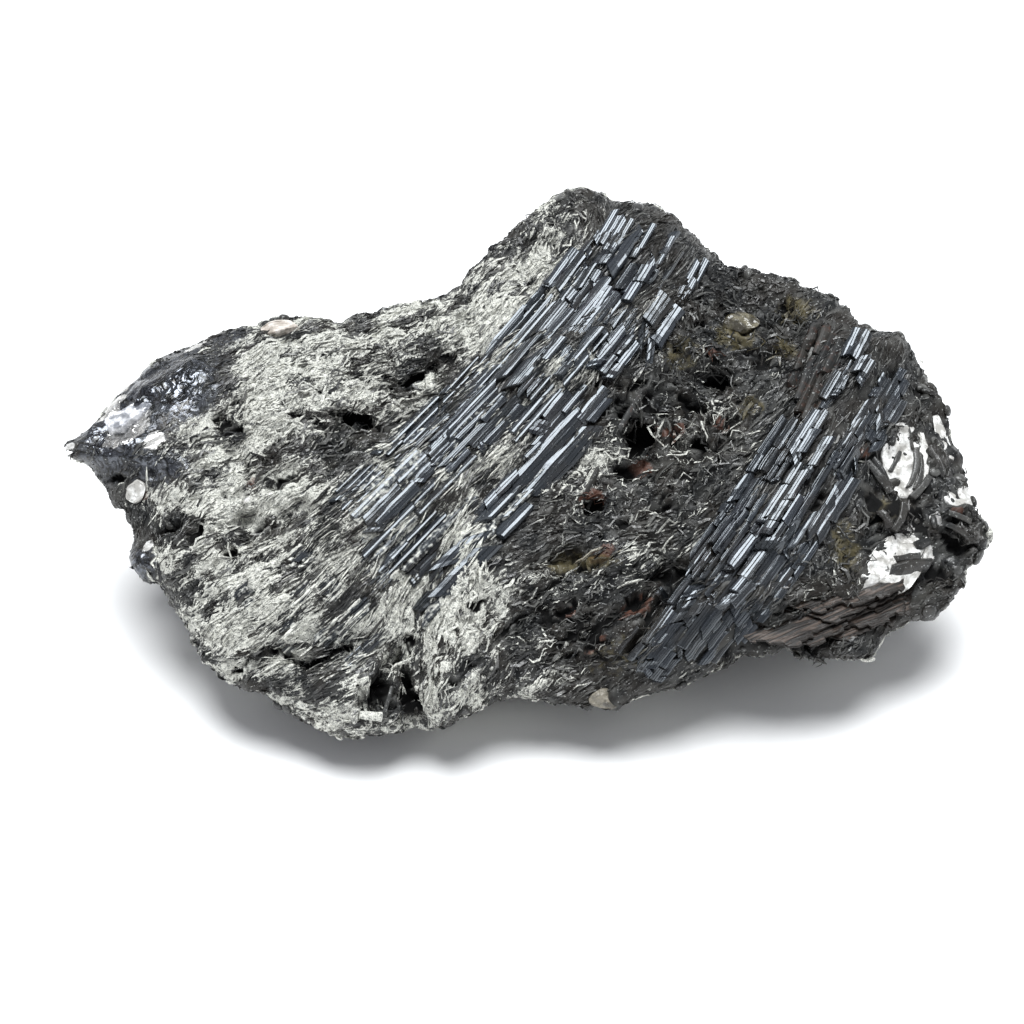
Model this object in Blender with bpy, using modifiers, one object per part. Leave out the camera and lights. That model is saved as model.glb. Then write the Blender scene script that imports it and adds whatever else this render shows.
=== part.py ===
"""Black tourmaline on matrix: one mass of schorl with its prism bundles, grains of quartz and
feldspar set in it, a lump of golden mica and a ledge of brown mica under its right end.

The stone is drawn on a board that leans back from the ground: x runs across the board, s up it and
w straight out of it. Sizes are in millimetres until a point is put in the world, in metres."""

import math

import bmesh
import bpy
import numpy as np
from mathutils import Matrix, Vector
from mathutils.bvhtree import BVHTree

MM = 0.001

# The board. BOARD_AT is its middle, above the ground, and LEAN its angle from the ground.
LEAN = math.radians(50)
BOARD_AT = Vector((0.0, -3.98, 18.05))
ACROSS = Vector((1, 0, 0))
UP = Vector((0, math.cos(LEAN), math.sin(LEAN)))
OUT = Vector((0, -math.sin(LEAN), math.cos(LEAN)))

# The stone. Its widest outline lies on a plane that falls back by SLOPE up the board. The front
# swells out of that plane by FRONT and the back by BACK.
HALF_WIDTH = 50
HALF_HEIGHT = 30
SLOPE = 0.455
FRONT = 7.0
FRONT_CURVE = (2.6, 2.0)
BACK = 46.0
BACK_CURVE = (2.2, 2.0)
GROUND_SINK = 0.6
SKIN_CELL = 0.5
BODY_TRIANGLES = 6200
JOINED_TRIANGLES = 7500

# The roughness of the face, as the cell and height of each noise.
FACE_NOISES = ((5.0, 0.7), (2.6, 0.4))

# Behind its edge the outline loses its detail within this depth and slims by this share. The sides
# swell and shrink by the share beside each cell.
OUTLINE_DEPTH = 6.0
OUTLINE_SLIM = 0.05
OUTLINE_BLUR = 0.3
SIDE_NOISES = ((9.0, 0.05), (4.0, 0.03))

# The outline, as (x, s), anticlockwise from the right end.
OUTLINE = (
    (49.4, -8.4), (49.2, -7.2), (48.4, -4.5), (47.7, -3.1), (47.4, -0.3), (46.7, 2.4),
    (46.4, 5.2), (45.8, 7.2), (44.3, 9.5), (43.1, 12.1), (42.5, 13.7), (41.3, 14.7),
    (40.0, 14.5), (37.0, 15.4), (36.0, 17.6), (34.5, 18.4), (32.7, 19.5), (31.1, 20.0),
    (30.7, 20.8), (28.0, 21.5), (25.0, 22.2), (23.0, 22.3), (21.0, 24.0), (19.3, 25.9),
    (18.0, 27.0), (17.4, 28.3), (15.6, 29.0), (14.1, 29.8), (9.8, 30.1), (8.9, 31.1),
    (6.6, 31.7), (4.4, 31.3), (1.8, 29.5), (-0.8, 27.0), (-2.3, 25.5), (-6.0, 22.2),
    (-7.1, 19.9), (-9.7, 18.6), (-13.1, 18.0), (-17.9, 16.8), (-20.4, 15.7), (-24.6, 16.5),
    (-29.3, 16.0), (-30.1, 15.2), (-31.5, 15.4), (-33.3, 15.1), (-35.5, 13.7), (-38.4, 12.6),
    (-40.9, 11.4), (-42.6, 9.7), (-44.3, 8.1), (-45.6, 6.0), (-47.6, 3.8), (-50.2, 1.9),
    (-49.7, 0.9), (-48.7, 1.0), (-46.9, -0.4), (-45.0, -3.0), (-44.3, -4.6), (-43.2, -4.8),
    (-42.1, -7.4), (-41.9, -8.9), (-42.3, -10.1), (-42.0, -11.1), (-40.6, -12.8),
    (-39.0, -12.8), (-36.9, -15.6), (-35.7, -17.1), (-35.3, -18.6), (-33.7, -21.1),
    (-31.1, -23.2), (-30.3, -23.0), (-29.4, -24.0), (-27.0, -24.5), (-24.1, -26.4),
    (-21.3, -28.1), (-19.1, -28.6), (-14.2, -28.4), (-8.4, -27.5), (-4.9, -25.9),
    (-2.8, -24.7), (-0.8, -24.2), (0.5, -24.7), (6.8, -25.8), (9.6, -25.8), (10.5, -25.0),
    (13.6, -24.2), (16.0, -23.6), (20.5, -21.7), (22.5, -20.5), (26.3, -20.3), (27.6, -19.6),
    (30.6, -20.4), (31.6, -21.5), (34.1, -20.8), (36.3, -20.4), (37.1, -19.5), (38.1, -18.0),
    (40.6, -16.9), (43.7, -16.1), (44.6, -15.3), (46.4, -13.0), (47.0, -11.4), (48.9, -9.9),
)

# Crests and furrows: the (x, s) points of the line, its half width, and its height, below zero
# for a furrow.
CRESTS = (
    (((14.5, 27.0), (8.0, 18.0), (0.0, 8.0), (-9.0, -1.0), (-18.0, -8.0)), 6.0, 2.6),
    (((38.5, 13.0), (31.5, 3.5), (25.5, -6.5), (19.0, -14.5), (13.0, -20.0)), 4.6, 2.6),
    (((-6.5, -9.5), (-7.4, -16.0), (-6.5, -25.0)), 4.0, 2.2),
    (((-49.5, 1.4), (-44.0, 0.6), (-39.0, 0.8), (-36.0, -0.8)), 2.8, 1.8),
    (((-30.5, -20.5), (-24.0, -23.0), (-16.5, -24.0)), 2.6, 1.3),
    (((-9.0, -6.5), (-10.8, -12.0), (-11.8, -18.5), (-11.4, -26.5)), 2.2, -1.7),
    (((-29.5, -21.5), (-24.8, -20.0), (-21.0, -21.2), (-17.5, -18.6), (-13.5, -19.6)), 1.0, -1.2),
    (((2.0, 17.5), (-7.0, 7.5), (-16.0, -1.5)), 1.6, -1.2),
    (((24.0, 21.5), (30.5, 13.0), (27.0, 6.5), (20.0, -2.5), (14.0, -12.5)), 2.0, -1.3),
)

# Lumps and hollows: centre (x, s), half widths along and across, turn in degrees, and height,
# below zero for a hollow.
LUMPS = (
    ((17.0, 5.0), (9.5, 6.5), 45, -2.6),
    ((24.5, 17.5), (5.0, 3.5), -30, -1.2),
    ((4.5, 28.0), (4.5, 3.0), 35, 1.6),
    ((-24.5, -14.5), (8.0, 5.0), 30, 1.6),
    ((-26.0, 8.0), (8.0, 5.0), 10, 1.2),
    ((-18.8, 4.6), (2.6, 1.2), -20, -2.0),
    ((-11.3, 8.9), (1.9, 1.2), 30, -2.0),
    ((-29.6, -6.2), (1.8, 1.0), 30, -2.2),
    ((-25.8, -6.7), (1.6, 1.1), 60, -1.9),
    ((-23.2, -5.3), (1.5, 1.2), 0, -1.8),
    ((-38.6, -8.8), (1.4, 1.0), 20, -1.1),
    ((-41.5, -11.0), (1.8, 1.5), 0, 1.3),
    ((12.4, 2.4), (1.8, 1.3), -40, -2.2),
    ((13.4, -0.3), (1.5, 1.1), 20, -1.9),
    ((17.7, 1.3), (1.3, 1.0), 0, -1.8),
    ((6.8, -5.1), (1.5, 0.9), 40, -1.8),
    ((4.1, -10.3), (2.6, 1.0), 10, -1.6),
    ((21.4, 8.6), (1.7, 1.2), -30, -1.7),
    ((41.0, -7.4), (2.2, 1.4), 30, -1.8),
    ((44.0, -9.6), (2.6, 1.5), 60, -1.6),
    ((46.0, -7.0), (2.6, 2.0), 40, 1.6),
    ((44.5, -13.2), (2.4, 1.8), 20, 1.4),
    ((40.2, 12.6), (3.0, 2.0), -20, 1.0),
    ((33.5, -20.0), (4.0, 1.8), 10, 1.6),
    ((9.0, -22.5), (5.0, 1.8), 5, -1.4),
    ((-16.5, -25.8), (3.4, 1.4), -10, 1.1),
)

# Broken faces of the back and the underside: the face's outward direction, its distance from the
# ground under the board's middle, and the height of the steps it is broken in.
BREAKS = (
    ((0.14, 0.96, 0.10), 35.6, 2.4),
    ((-0.58, 0.78, 0.20), 33.2, 2.0),
    ((0.62, 0.76, 0.16), 39.2, 2.2),
    ((-0.70, 0.12, -0.70), 21.8, 1.2),
    ((0.74, 0.02, -0.67), 26.5, 1.4),
    ((0.90, 0.42, 0.10), 45.9, 1.8),
    ((0.10, -0.62, -0.78), 14.1, 0.8),
)
BREAK_DEPTH = 4.0
STEP_CELL = 9.0
STEPS = 3
BREAK_NOISE = (3.0, 0.4)

# Prism bundles: the centre line (x, s) of the band, the band's width at both ends, how many rows
# of prisms lie across it, the shortest and longest prism as a share of the line, their half
# thickness, and how far they stand out.
BUNDLES = (
    (((14.5, 26.5), (8.0, 17.0), (-2.0, 5.0), (-15.0, -8.5)), (12.0, 15.0), 6, (0.16, 0.34), 1.25, 0.6),
    (((38.5, 13.5), (31.0, 2.5), (24.0, -7.5), (15.0, -19.0)), (9.0, 8.0), 4, (0.16, 0.34), 1.15, 0.7),
    (((-13.0, -12.0), (-18.0, -18.0), (-22.5, -23.0)), (13.0, 12.0), 5, (0.3, 0.6), 1.1, 0.35),
)

# Single prisms: both ends (x, s), the half thickness, and how far the prism stands out.
PRISMS = (
    ((3.2, -11.2), (10.5, -9.0), 1.0, 0.6),
    ((-1.5, -22.0), (6.0, -20.2), 1.2, 0.6),
    ((-0.5, -18.4), (8.0, -15.4), 1.0, 0.5),
    ((12.0, 5.6), (5.5, -3.2), 1.1, 0.5),
    ((28.5, 16.5), (24.5, 9.0), 1.4, 0.5),
    ((31.0, 16.0), (27.5, 9.5), 1.3, 0.6),
    ((37.0, 0.6), (35.4, -3.4), 0.8, 0.7),
    ((37.4, -11.4), (41.6, -12.2), 1.1, 1.6),
    ((-22.0, 4.6), (-15.4, 8.6), 0.8, 0.5),
    ((-33.5, -9.0), (-27.0, -3.6), 0.9, 0.5),
    ((-14.6, -22.6), (-11.4, -18.4), 0.6, 0.9),
)

# Bundles broken off short on the back and the right end. A line from that side meets the stone at
# the middle of the bundle: the place on that side as (x or y, z), how many prisms stand side by
# side and over one another, their half thickness, and the longest length that sticks out.
PRISM_RUN = Vector((0.669, 0.671, 0.320))
PRISM_TAPER = 0.88
BURIED = 4.0
BROKEN_BUNDLES = (
    ("back", (13.0, 19.0), 3, 4, 1.7, 2.2),
    ("back", (-20.0, 11.0), 3, 2, 1.4, 1.6),
    ("right", (6.0, 14.0), 3, 3, 1.5, 1.8),
)
SIDES = {
    "back": (Vector((1, 0, 0)), Vector((0, 1, 0))),
    "right": (Vector((0, 1, 0)), Vector((1, 0, 0))),
}

# The open crack beside the fold: the (x, s) of its two ends, its half width and its depth.
CRACK = ((-12.4, -18.0), (-17.0, -23.2), 0.9, 3.2)

# Grains of other minerals, each the hull of scattered corners: name, centre (x, s), half sizes
# along, across and through, turn in degrees, and how far the middle lies out of the stone's face.
GRAIN_CORNERS = 26
GRAINS = (
    ("quartz_upper_right", (40.6, -0.6), (4.9, 2.9, 2.4), 78, -0.9),
    ("quartz_lower_right", (38.8, -10.9), (4.3, 2.5, 2.4), 38, -0.5),
    ("quartz_right_edge", (45.6, 2.4), (5.6, 1.3, 2.4), 104, -0.3),
    ("quartz_right_corner", (46.0, -4.0), (1.6, 1.2, 1.6), 20, -0.2),
    ("quartz_beak", (-43.3, 4.6), (4.0, 2.2, 1.8), 38, -0.9),
    ("quartz_left_notch", (-41.3, -3.1), (1.6, 1.2, 1.4), 30, -0.4),
    ("feldspar_crest", (-27.0, 14.9), (2.4, 1.2, 1.7), 4, -0.3),
    ("feldspar_foot", (8.4, -24.6), (2.3, 1.4, 1.7), 8, -0.2),
    ("golden_mica", (23.7, 15.4), (2.5, 1.5, 1.6), 0, -0.4),
)

BESIDE_LEDGE = "quartz_lower_right"

# The mica ledge: its place on the board, the world direction of its run and of its leaves' tops,
# and the leaves from the top down, as length, depth and thickness, then how far each lies along
# the run, out and down.
LEDGE_AT = (33.6, -14.4)
LEDGE_RUN = Vector((math.cos(math.radians(28)), math.sin(math.radians(28)), 0.04))
LEDGE_TOP = Vector((0.02, -0.14, 0.99))
LEAVES = (
    (15.0, 5.0, 0.9, (0.6, 0.0, 0.0)),
    (21.0, 5.4, 0.9, (-1.6, 0.6, 0.75)),
    (16.0, 6.0, 0.9, (2.6, 1.2, 1.5)),
    (10.0, 6.2, 0.9, (1.2, 1.7, 2.25)),
)
LEAF_BOW = 0.9
LEAF_WAVES = 5

# Touching pieces stay this far apart.
SEAT_GAP = 0.32


# ---------------------------------------------------------------- places and shapes


def board_point(x, s, w):
    """The world point, in metres, of a point on the board."""
    return (BOARD_AT + ACROSS * x + UP * s + OUT * w) * MM


def outline_reach(angle):
    """How far the outline lies from the board's middle, as a share of the half-size ellipse."""
    points = np.array(OUTLINE) / (HALF_WIDTH, HALF_HEIGHT)
    angles = np.arctan2(points[:, 1], points[:, 0])
    order = np.argsort(angles)
    return np.interp(angle, angles[order], np.hypot(*points.T)[order], period=2 * math.pi)


def line_distance(x, s, points):
    """The distance from (x, s) to a line through points."""
    nearest = np.full(np.shape(x), 1e9)
    for (x0, s0), (x1, s1) in zip(points, points[1:]):
        run_x, run_s = x1 - x0, s1 - s0
        share = ((x - x0) * run_x + (s - s0) * run_s) / (run_x**2 + run_s**2)
        share = np.clip(share, 0, 1)
        nearest = np.minimum(nearest, np.hypot(x - x0 - share * run_x, s - s0 - share * run_s))
    return nearest


def lattice_noise(points, cell, seed):
    """Smooth noise from -1 to 1, from a hashed value at each corner of a lattice of that cell."""
    scaled = points / cell + 1000
    corner = np.floor(scaled).astype(np.int64)
    share = scaled - corner
    share = share * share * (3 - 2 * share)
    total = np.zeros(len(points))
    for dx in (0, 1):
        for dy in (0, 1):
            for dz in (0, 1):
                at = corner + (dx, dy, dz)
                mixed = at[:, 0] * 374761393 + at[:, 1] * 668265263 + at[:, 2] * 2147483647
                mixed = (mixed + seed * 974711) & 0xFFFFFFFF
                mixed = ((mixed ^ (mixed >> 13)) * 1274126177) & 0xFFFFFFFF
                value = ((mixed ^ (mixed >> 16)) & 0xFFFF) / 32767.5 - 1
                weight = np.ones(len(points))
                for axis, step in enumerate((dx, dy, dz)):
                    weight = weight * (share[:, axis] if step else 1 - share[:, axis])
                total += value * weight
    return total


def many_noises(points, noises, seed):
    """The sum of noises, each given as its cell and height."""
    return sum(height * lattice_noise(points, cell, seed + i) for i, (cell, height) in enumerate(noises))


def swell(reach, curve):
    """How full the stone is at that share of the way to its outline, from 1 to 0."""
    inner, outer = curve
    return np.clip(1 - reach**inner, 0, 1) ** (1 / outer)


def face_relief(x, s):
    """The crests, furrows, lumps and hollows of the stone's face."""
    relief = np.zeros(np.shape(x))
    for points, width, height in CRESTS:
        relief = relief + height * np.exp(-((line_distance(x, s, points) / width) ** 2))
    for (cx, cs), (along, across), turn, height in LUMPS:
        c, d = math.cos(math.radians(turn)), math.sin(math.radians(turn))
        u = ((x - cx) * c + (s - cs) * d) / along
        v = ((s - cs) * c - (x - cx) * d) / across
        relief = relief + height * np.exp(-(u**2 + v**2))
    return relief


def face_height(x, s):
    """The w of the stone's face at (x, s)."""
    angle = np.arctan2(s / HALF_HEIGHT, x / HALF_WIDTH)
    reach = np.hypot(x / HALF_WIDTH, s / HALF_HEIGHT) / outline_reach(angle)
    return -SLOPE * s + FRONT * swell(reach, FRONT_CURVE) + face_relief(x, s)


def face_point(x, s, out=0.0):
    """The world point that far out of the stone's face at (x, s)."""
    return board_point(x, s, float(face_height(np.array(x), np.array(s))) + out)


def stone_points(sphere):
    """The stone's surface, in millimetres in the world, for points of a unit sphere whose z axis
    stands out of the board."""
    angle = np.arctan2(sphere[:, 1], sphere[:, 0])
    reach = 1 - np.arcsin(np.clip(np.abs(sphere[:, 2]), 0, 1)) / (math.pi / 2)
    depth = np.where(sphere[:, 2] > 0, 0, BACK * swell(reach, BACK_CURVE))
    sharp = outline_reach(angle)
    turns = np.linspace(-OUTLINE_BLUR, OUTLINE_BLUR, 9)
    smooth = sum(outline_reach(angle + turn) for turn in turns) / len(turns)
    detail = np.exp(-depth / OUTLINE_DEPTH)
    rim = reach * (smooth - OUTLINE_SLIM + (sharp - smooth + OUTLINE_SLIM) * detail)
    x = HALF_WIDTH * rim * np.cos(angle)
    s = HALF_HEIGHT * rim * np.sin(angle)
    w = -SLOPE * s - depth + np.clip(0.5 + 2 * sphere[:, 2], 0, 1) * face_relief(x, s)
    w += np.where(sphere[:, 2] > 0, FRONT * swell(reach, FRONT_CURVE), 0)
    drawn = np.stack([x, s, w], axis=1)
    drawn[:, :2] *= (1 + (1 - detail) * many_noises(drawn, SIDE_NOISES, 4))[:, None]
    drawn[:, 2] += many_noises(drawn, FACE_NOISES, 1)
    stone = drawn @ np.array([ACROSS, UP, OUT]) + (0, 0, BOARD_AT.z)
    behind = np.clip(depth / BREAK_DEPTH, 0, 1)
    for seed, (normal, distance, step) in enumerate(BREAKS):
        normal = np.array(normal) / np.linalg.norm(normal)
        stair = np.floor(STEPS * lattice_noise(stone, STEP_CELL, 10 + seed)) / STEPS
        rough = distance + step * stair + many_noises(stone, (BREAK_NOISE,), 3)
        beyond = np.maximum(stone @ normal - rough, 0) * behind
        stone -= beyond[:, None] * normal
    stone[:, 2] = np.maximum(stone[:, 2], -GROUND_SINK)
    return stone + (BOARD_AT.x, BOARD_AT.y, 0)


# ---------------------------------------------------------------- Blender helpers


def clear_scene():
    for item in list(bpy.data.objects):
        bpy.data.objects.remove(item)


def collection(name, helper=False):
    made = bpy.data.collections.new(name)
    bpy.context.scene.collection.children.link(made)
    made.hide_render = helper
    return made


def finish(name, color, roughness, metallic=0.0):
    """A plain material of that colour."""
    made = bpy.data.materials.new(name)
    made.use_nodes = True
    shader = made.node_tree.nodes["Principled BSDF"]
    shader.inputs["Base Color"].default_value = (*color, 1)
    shader.inputs["Roughness"].default_value = roughness
    shader.inputs["Metallic"].default_value = metallic
    return made


def add_object(name, form, home, material=None):
    """Puts a finished bmesh in the scene."""
    mesh = bpy.data.meshes.new(name)
    form.to_mesh(mesh)
    form.free()
    made = bpy.data.objects.new(name, mesh)
    home.objects.link(made)
    if material:
        mesh.materials.append(material)
    return made


def helper_object(name, form, home):
    """A cutter or joiner. It isn't part of the object."""
    made = add_object(name, form, home)
    made.hide_render = True
    made.display_type = "WIRE"
    return made


def apply_modifiers(item):
    """Puts the item's evaluated mesh in place of its modifiers."""
    graph = bpy.context.evaluated_depsgraph_get()
    mesh = bpy.data.meshes.new_from_object(item.evaluated_get(graph))
    item.modifiers.clear()
    item.data = mesh


def boolean(item, other, operation, crowd=False, solver="EXACT"):
    """Joins other to item, or cuts it from it. A crowd is many bodies that overlap."""
    made = item.modifiers.new(other.name, "BOOLEAN")
    made.operation = operation
    made.solver = solver
    made.object = other
    made.use_self = crowd
    apply_modifiers(item)


def thin_out(item, triangles):
    """Leaves about that many triangles."""
    item.data.calc_loop_triangles()
    made = item.modifiers.new("fewer_faces", "DECIMATE")
    made.ratio = triangles / len(item.data.loop_triangles)
    made.use_collapse_triangulate = True
    apply_modifiers(item)


def drop_splinters(item):
    """Leaves only the item's largest connected piece."""
    form = bmesh.new()
    form.from_mesh(item.data)
    left = set(form.verts)
    pieces = []
    while left:
        edge = [left.pop()]
        piece = list(edge)
        while edge:
            near = {e.other_vert(v) for v in edge for e in v.link_edges} & left
            left -= near
            piece += near
            edge = near
        pieces.append(piece)
    pieces.sort(key=len)
    for piece in pieces[:-1]:
        bmesh.ops.delete(form, geom=piece, context="VERTS")
    form.to_mesh(item.data)
    form.free()


def hull(form):
    """Closes the form's points with their convex hull."""
    made = bmesh.ops.convex_hull(form, input=form.verts)
    loose = [v for v in made["geom_interior"] if isinstance(v, bmesh.types.BMVert)]
    bmesh.ops.delete(form, geom=loose, context="VERTS")
    bmesh.ops.recalc_face_normals(form, faces=form.faces)


# ---------------------------------------------------------------- the schorl


def schorl_body(home, material):
    """The mass of schorl, without its prisms."""
    form = bmesh.new()
    bmesh.ops.create_icosphere(form, subdivisions=6, radius=1)
    body = add_object("schorl_mass", form, home, material)
    sphere = np.empty(len(body.data.vertices) * 3)
    body.data.vertices.foreach_get("co", sphere)
    sphere = sphere.reshape(-1, 3)
    sphere /= np.linalg.norm(sphere, axis=1)[:, None]
    body.data.vertices.foreach_set("co", (stone_points(sphere) * MM).ravel())
    body.data.update()
    skin = body.modifiers.new("one_skin", "REMESH")
    skin.mode = "VOXEL"
    skin.voxel_size = SKIN_CELL * MM
    apply_modifiers(body)
    body.data.materials.clear()
    body.data.materials.append(material)
    thin_out(body, BODY_TRIANGLES)
    return body


def prism(form, start, end, thickness, roll):
    """Adds a six-sided prism from start to end, one side turned out of the board by roll."""
    run = (end - start).normalized()
    side = OUT.cross(run).normalized()
    lie = Matrix((run.cross(side), side, run)).transposed().to_4x4()
    bmesh.ops.create_cone(
        form,
        cap_ends=True,
        segments=6,
        radius1=thickness * MM,
        radius2=thickness * PRISM_TAPER * MM,
        depth=(end - start).length,
        matrix=Matrix.Translation((start + end) / 2) @ lie @ Matrix.Rotation(roll, 4, "Z"),
    )


def along_line(points, share):
    """The point at that share of a line's length, and the line's direction there."""
    steps = [math.dist(a, b) for a, b in zip(points, points[1:])]
    left = share * sum(steps)
    for a, b, step in zip(points, points[1:], steps):
        run = ((b[0] - a[0]) / step, (b[1] - a[1]) / step)
        if left <= step or b == points[-1]:
            return (a[0] + run[0] * left, a[1] + run[1] * left), run
        left -= step


def bundle(form, line, widths, rows, lengths, thickness, stand, random):
    """Adds the prisms of one band: rows side by side, each broken into lengths."""
    for row in range(rows):
        side = (row + 0.5) / rows - 0.5
        low = random.uniform(0, 0.1)
        while low < 0.88:
            high = min(low + random.uniform(*lengths), 1)
            size = thickness * random.uniform(0.85, 1.15)
            lift = stand - size + random.uniform(-0.3, 0.4)
            ends = []
            for share in (low, high):
                (x, s), (run_x, run_s) = along_line(line, share)
                offset = side * (widths[0] + (widths[1] - widths[0]) * share)
                ends.append(face_point(x - run_s * offset, s + run_x * offset, lift))
            prism(form, *ends, size, random.uniform(-0.3, 0.3))
            low = high + random.uniform(0, 0.04)


def broken_bundle(form, tree, side, place, columns, tiers, thickness, longest, random):
    """Adds close-packed prisms that stick out of the stone around where a line from that side
    meets it."""
    along, outward = SIDES[side]
    for column in range(columns):
        for tier in range(tiers):
            shift = (column - columns / 2 + tier % 2 / 2) * 1.8 * thickness
            rise = (tier - tiers / 2) * 1.56 * thickness
            at = along * (place[0] + shift) + Vector((0, 0, place[1] + rise))
            hit = tree.ray_cast((at + outward * 4 * HALF_WIDTH) * MM, -outward)[0]
            top = hit + PRISM_RUN * random.uniform(0.2, longest) * MM
            prism(form, hit - PRISM_RUN * BURIED * MM, top, thickness, 0)


def prism_crowd(body, home):
    """All prisms, as the one helper that is joined to the mass."""
    random = np.random.default_rng(7)
    form = bmesh.new()
    for band in BUNDLES:
        bundle(form, *band, random)
    for start, end, thickness, stand in PRISMS:
        ends = (face_point(*start, stand - thickness), face_point(*end, stand - thickness))
        prism(form, *ends, thickness, random.uniform(-0.4, 0.4))
    tree = BVHTree.FromObject(body, bpy.context.evaluated_depsgraph_get())
    for broken in BROKEN_BUNDLES:
        broken_bundle(form, tree, *broken, random)
    return helper_object("prisms", form, home)


def crack_cutter(home):
    """A wedge, sunk edge first into the face."""
    start, end, half_width, depth = CRACK
    ends = (face_point(*start), face_point(*end))
    side = (ends[1] - ends[0]).cross(OUT).normalized()
    form = bmesh.new()
    for at in ends:
        form.verts.new(at - OUT * depth * MM)
        form.verts.new(at + (OUT * depth + side * half_width * 2) * MM)
        form.verts.new(at + (OUT * depth - side * half_width * 2) * MM)
    hull(form)
    return helper_object("crack_cutter", form, home)


def ground_cutter(home):
    """A block whose top is the ground."""
    form = bmesh.new()
    block = 4 * HALF_WIDTH * MM
    bmesh.ops.create_cube(form, size=block, matrix=Matrix.Translation((0, 0, -block / 2)))
    return helper_object("ground_cutter", form, home)


# ---------------------------------------------------------------- grains and ledge


def grain_form(row, seed, grow=0.0):
    """An angular grain: the hull of points scattered on an ellipsoid."""
    _, (x, s), sizes, turn, sink = row
    random = np.random.default_rng(seed)
    scatter = random.normal(size=(GRAIN_CORNERS, 3))
    scatter /= np.linalg.norm(scatter, axis=1)[:, None]
    lie = Matrix((ACROSS, UP, OUT)).transposed().to_4x4()
    turned = lie @ Matrix.Rotation(math.radians(turn), 4, "Z")
    form = bmesh.new()
    for corner in scatter * (np.array(sizes) + grow) * MM:
        form.verts.new(face_point(x, s, sink) + turned.to_3x3() @ Vector(corner))
    hull(form)
    return form


def leaf(name, row, grow, home):
    """One leaf of the ledge: a wavy outline drawn as a flat curve and given its thickness."""
    length, depth, thickness, (along, out, down) = row
    curve = bpy.data.curves.new(name, "CURVE")
    curve.dimensions = "2D"
    curve.fill_mode = "BOTH"
    curve.extrude = (thickness / 2 + grow) * MM
    points = []
    for step in range(2 * LEAF_WAVES + 1):
        share = step / (2 * LEAF_WAVES)
        bow = LEAF_BOW * math.sin(math.pi * share) ** 0.6
        wave = 0.5 * (step % 2) + 0.4 * math.sin(9 * share + length)
        points.append(((share - 0.5) * (length + 2 * grow), -bow - wave - grow))
    points += [(length / 2 + grow, depth + grow), (-length / 2 - grow, depth + grow)]
    line = curve.splines.new("POLY")
    line.points.add(len(points) - 1)
    for point, (u, v) in zip(line.points, points):
        point.co = (u * MM, v * MM, 0, 1)
    line.use_cyclic_u = True
    made = bpy.data.objects.new(name, curve)
    home.objects.link(made)
    run = LEDGE_RUN.normalized()
    inward = LEDGE_TOP.cross(run).normalized()
    top = run.cross(inward)
    place = face_point(*LEDGE_AT) + (run * along - inward * out - top * down) * MM
    made.matrix_world = Matrix.Translation(place) @ Matrix((run, inward, top)).transposed().to_4x4()
    return made


def leaf_solid(name, row, grow, home):
    """The leaf as a closed mesh object."""
    drawn = leaf(name + "_drawn", row, grow, home)
    bpy.context.view_layer.update()
    graph = bpy.context.evaluated_depsgraph_get()
    form = bmesh.new()
    form.from_mesh(bpy.data.meshes.new_from_object(drawn.evaluated_get(graph)))
    form.transform(drawn.matrix_world)
    bmesh.ops.remove_doubles(form, verts=form.verts, dist=0.01 * MM)
    bmesh.ops.recalc_face_normals(form, faces=form.faces)
    bpy.data.objects.remove(drawn)
    return helper_object(name, form, home)


def ledge(name, grow, home, cutters, material=None):
    """The leaves, joined into one solid. Their wavy edges cross so closely that the exact solver
    loses one, and the manifold solver keeps all."""
    first, *rest = [leaf_solid(f"{name}_leaf_{i}", row, grow, cutters) for i, row in enumerate(LEAVES)]
    form = bmesh.new()
    form.from_mesh(first.data)
    made = add_object(name, form, home, material)
    for other in rest:
        boolean(made, other, "UNION", solver="MANIFOLD")
    return made


def main():
    clear_scene()
    parts = collection("black_tourmaline")
    cutters = collection("cutters", helper=True)
    schorl = finish("schorl", (0.020, 0.022, 0.025), 0.34)
    finishes = {
        "quartz": finish("quartz", (0.72, 0.71, 0.69), 0.28),
        "feldspar": finish("feldspar", (0.56, 0.47, 0.38), 0.42),
        "golden": finish("golden_mica", (0.20, 0.16, 0.07), 0.30),
    }

    body = schorl_body(parts, schorl)
    boolean(body, prism_crowd(body, cutters), "UNION", crowd=True)
    thin_out(body, JOINED_TRIANGLES)
    boolean(body, crack_cutter(cutters), "DIFFERENCE")

    shelf = ledge("mica_ledge", 0.0, parts, cutters, finish("brown_mica", (0.16, 0.115, 0.085), 0.55))
    pocket = ledge("ledge_pocket", SEAT_GAP, cutters, cutters)
    pocket.hide_render = True
    pocket.display_type = "WIRE"
    boolean(body, pocket, "DIFFERENCE")

    for seed, row in enumerate(GRAINS):
        name = row[0]
        add_object(name, grain_form(row, seed), parts, finishes[name.split("_")[0]])
        seat = helper_object(name + "_pocket", grain_form(row, seed, SEAT_GAP), cutters)
        boolean(body, seat, "DIFFERENCE")
        if name == BESIDE_LEDGE:
            boolean(shelf, seat, "DIFFERENCE")
    boolean(body, ground_cutter(cutters), "DIFFERENCE")
    drop_splinters(body)
    drop_splinters(shelf)


main()
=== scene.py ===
import math
import bpy
import numpy as np
from mathutils import Matrix


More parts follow.
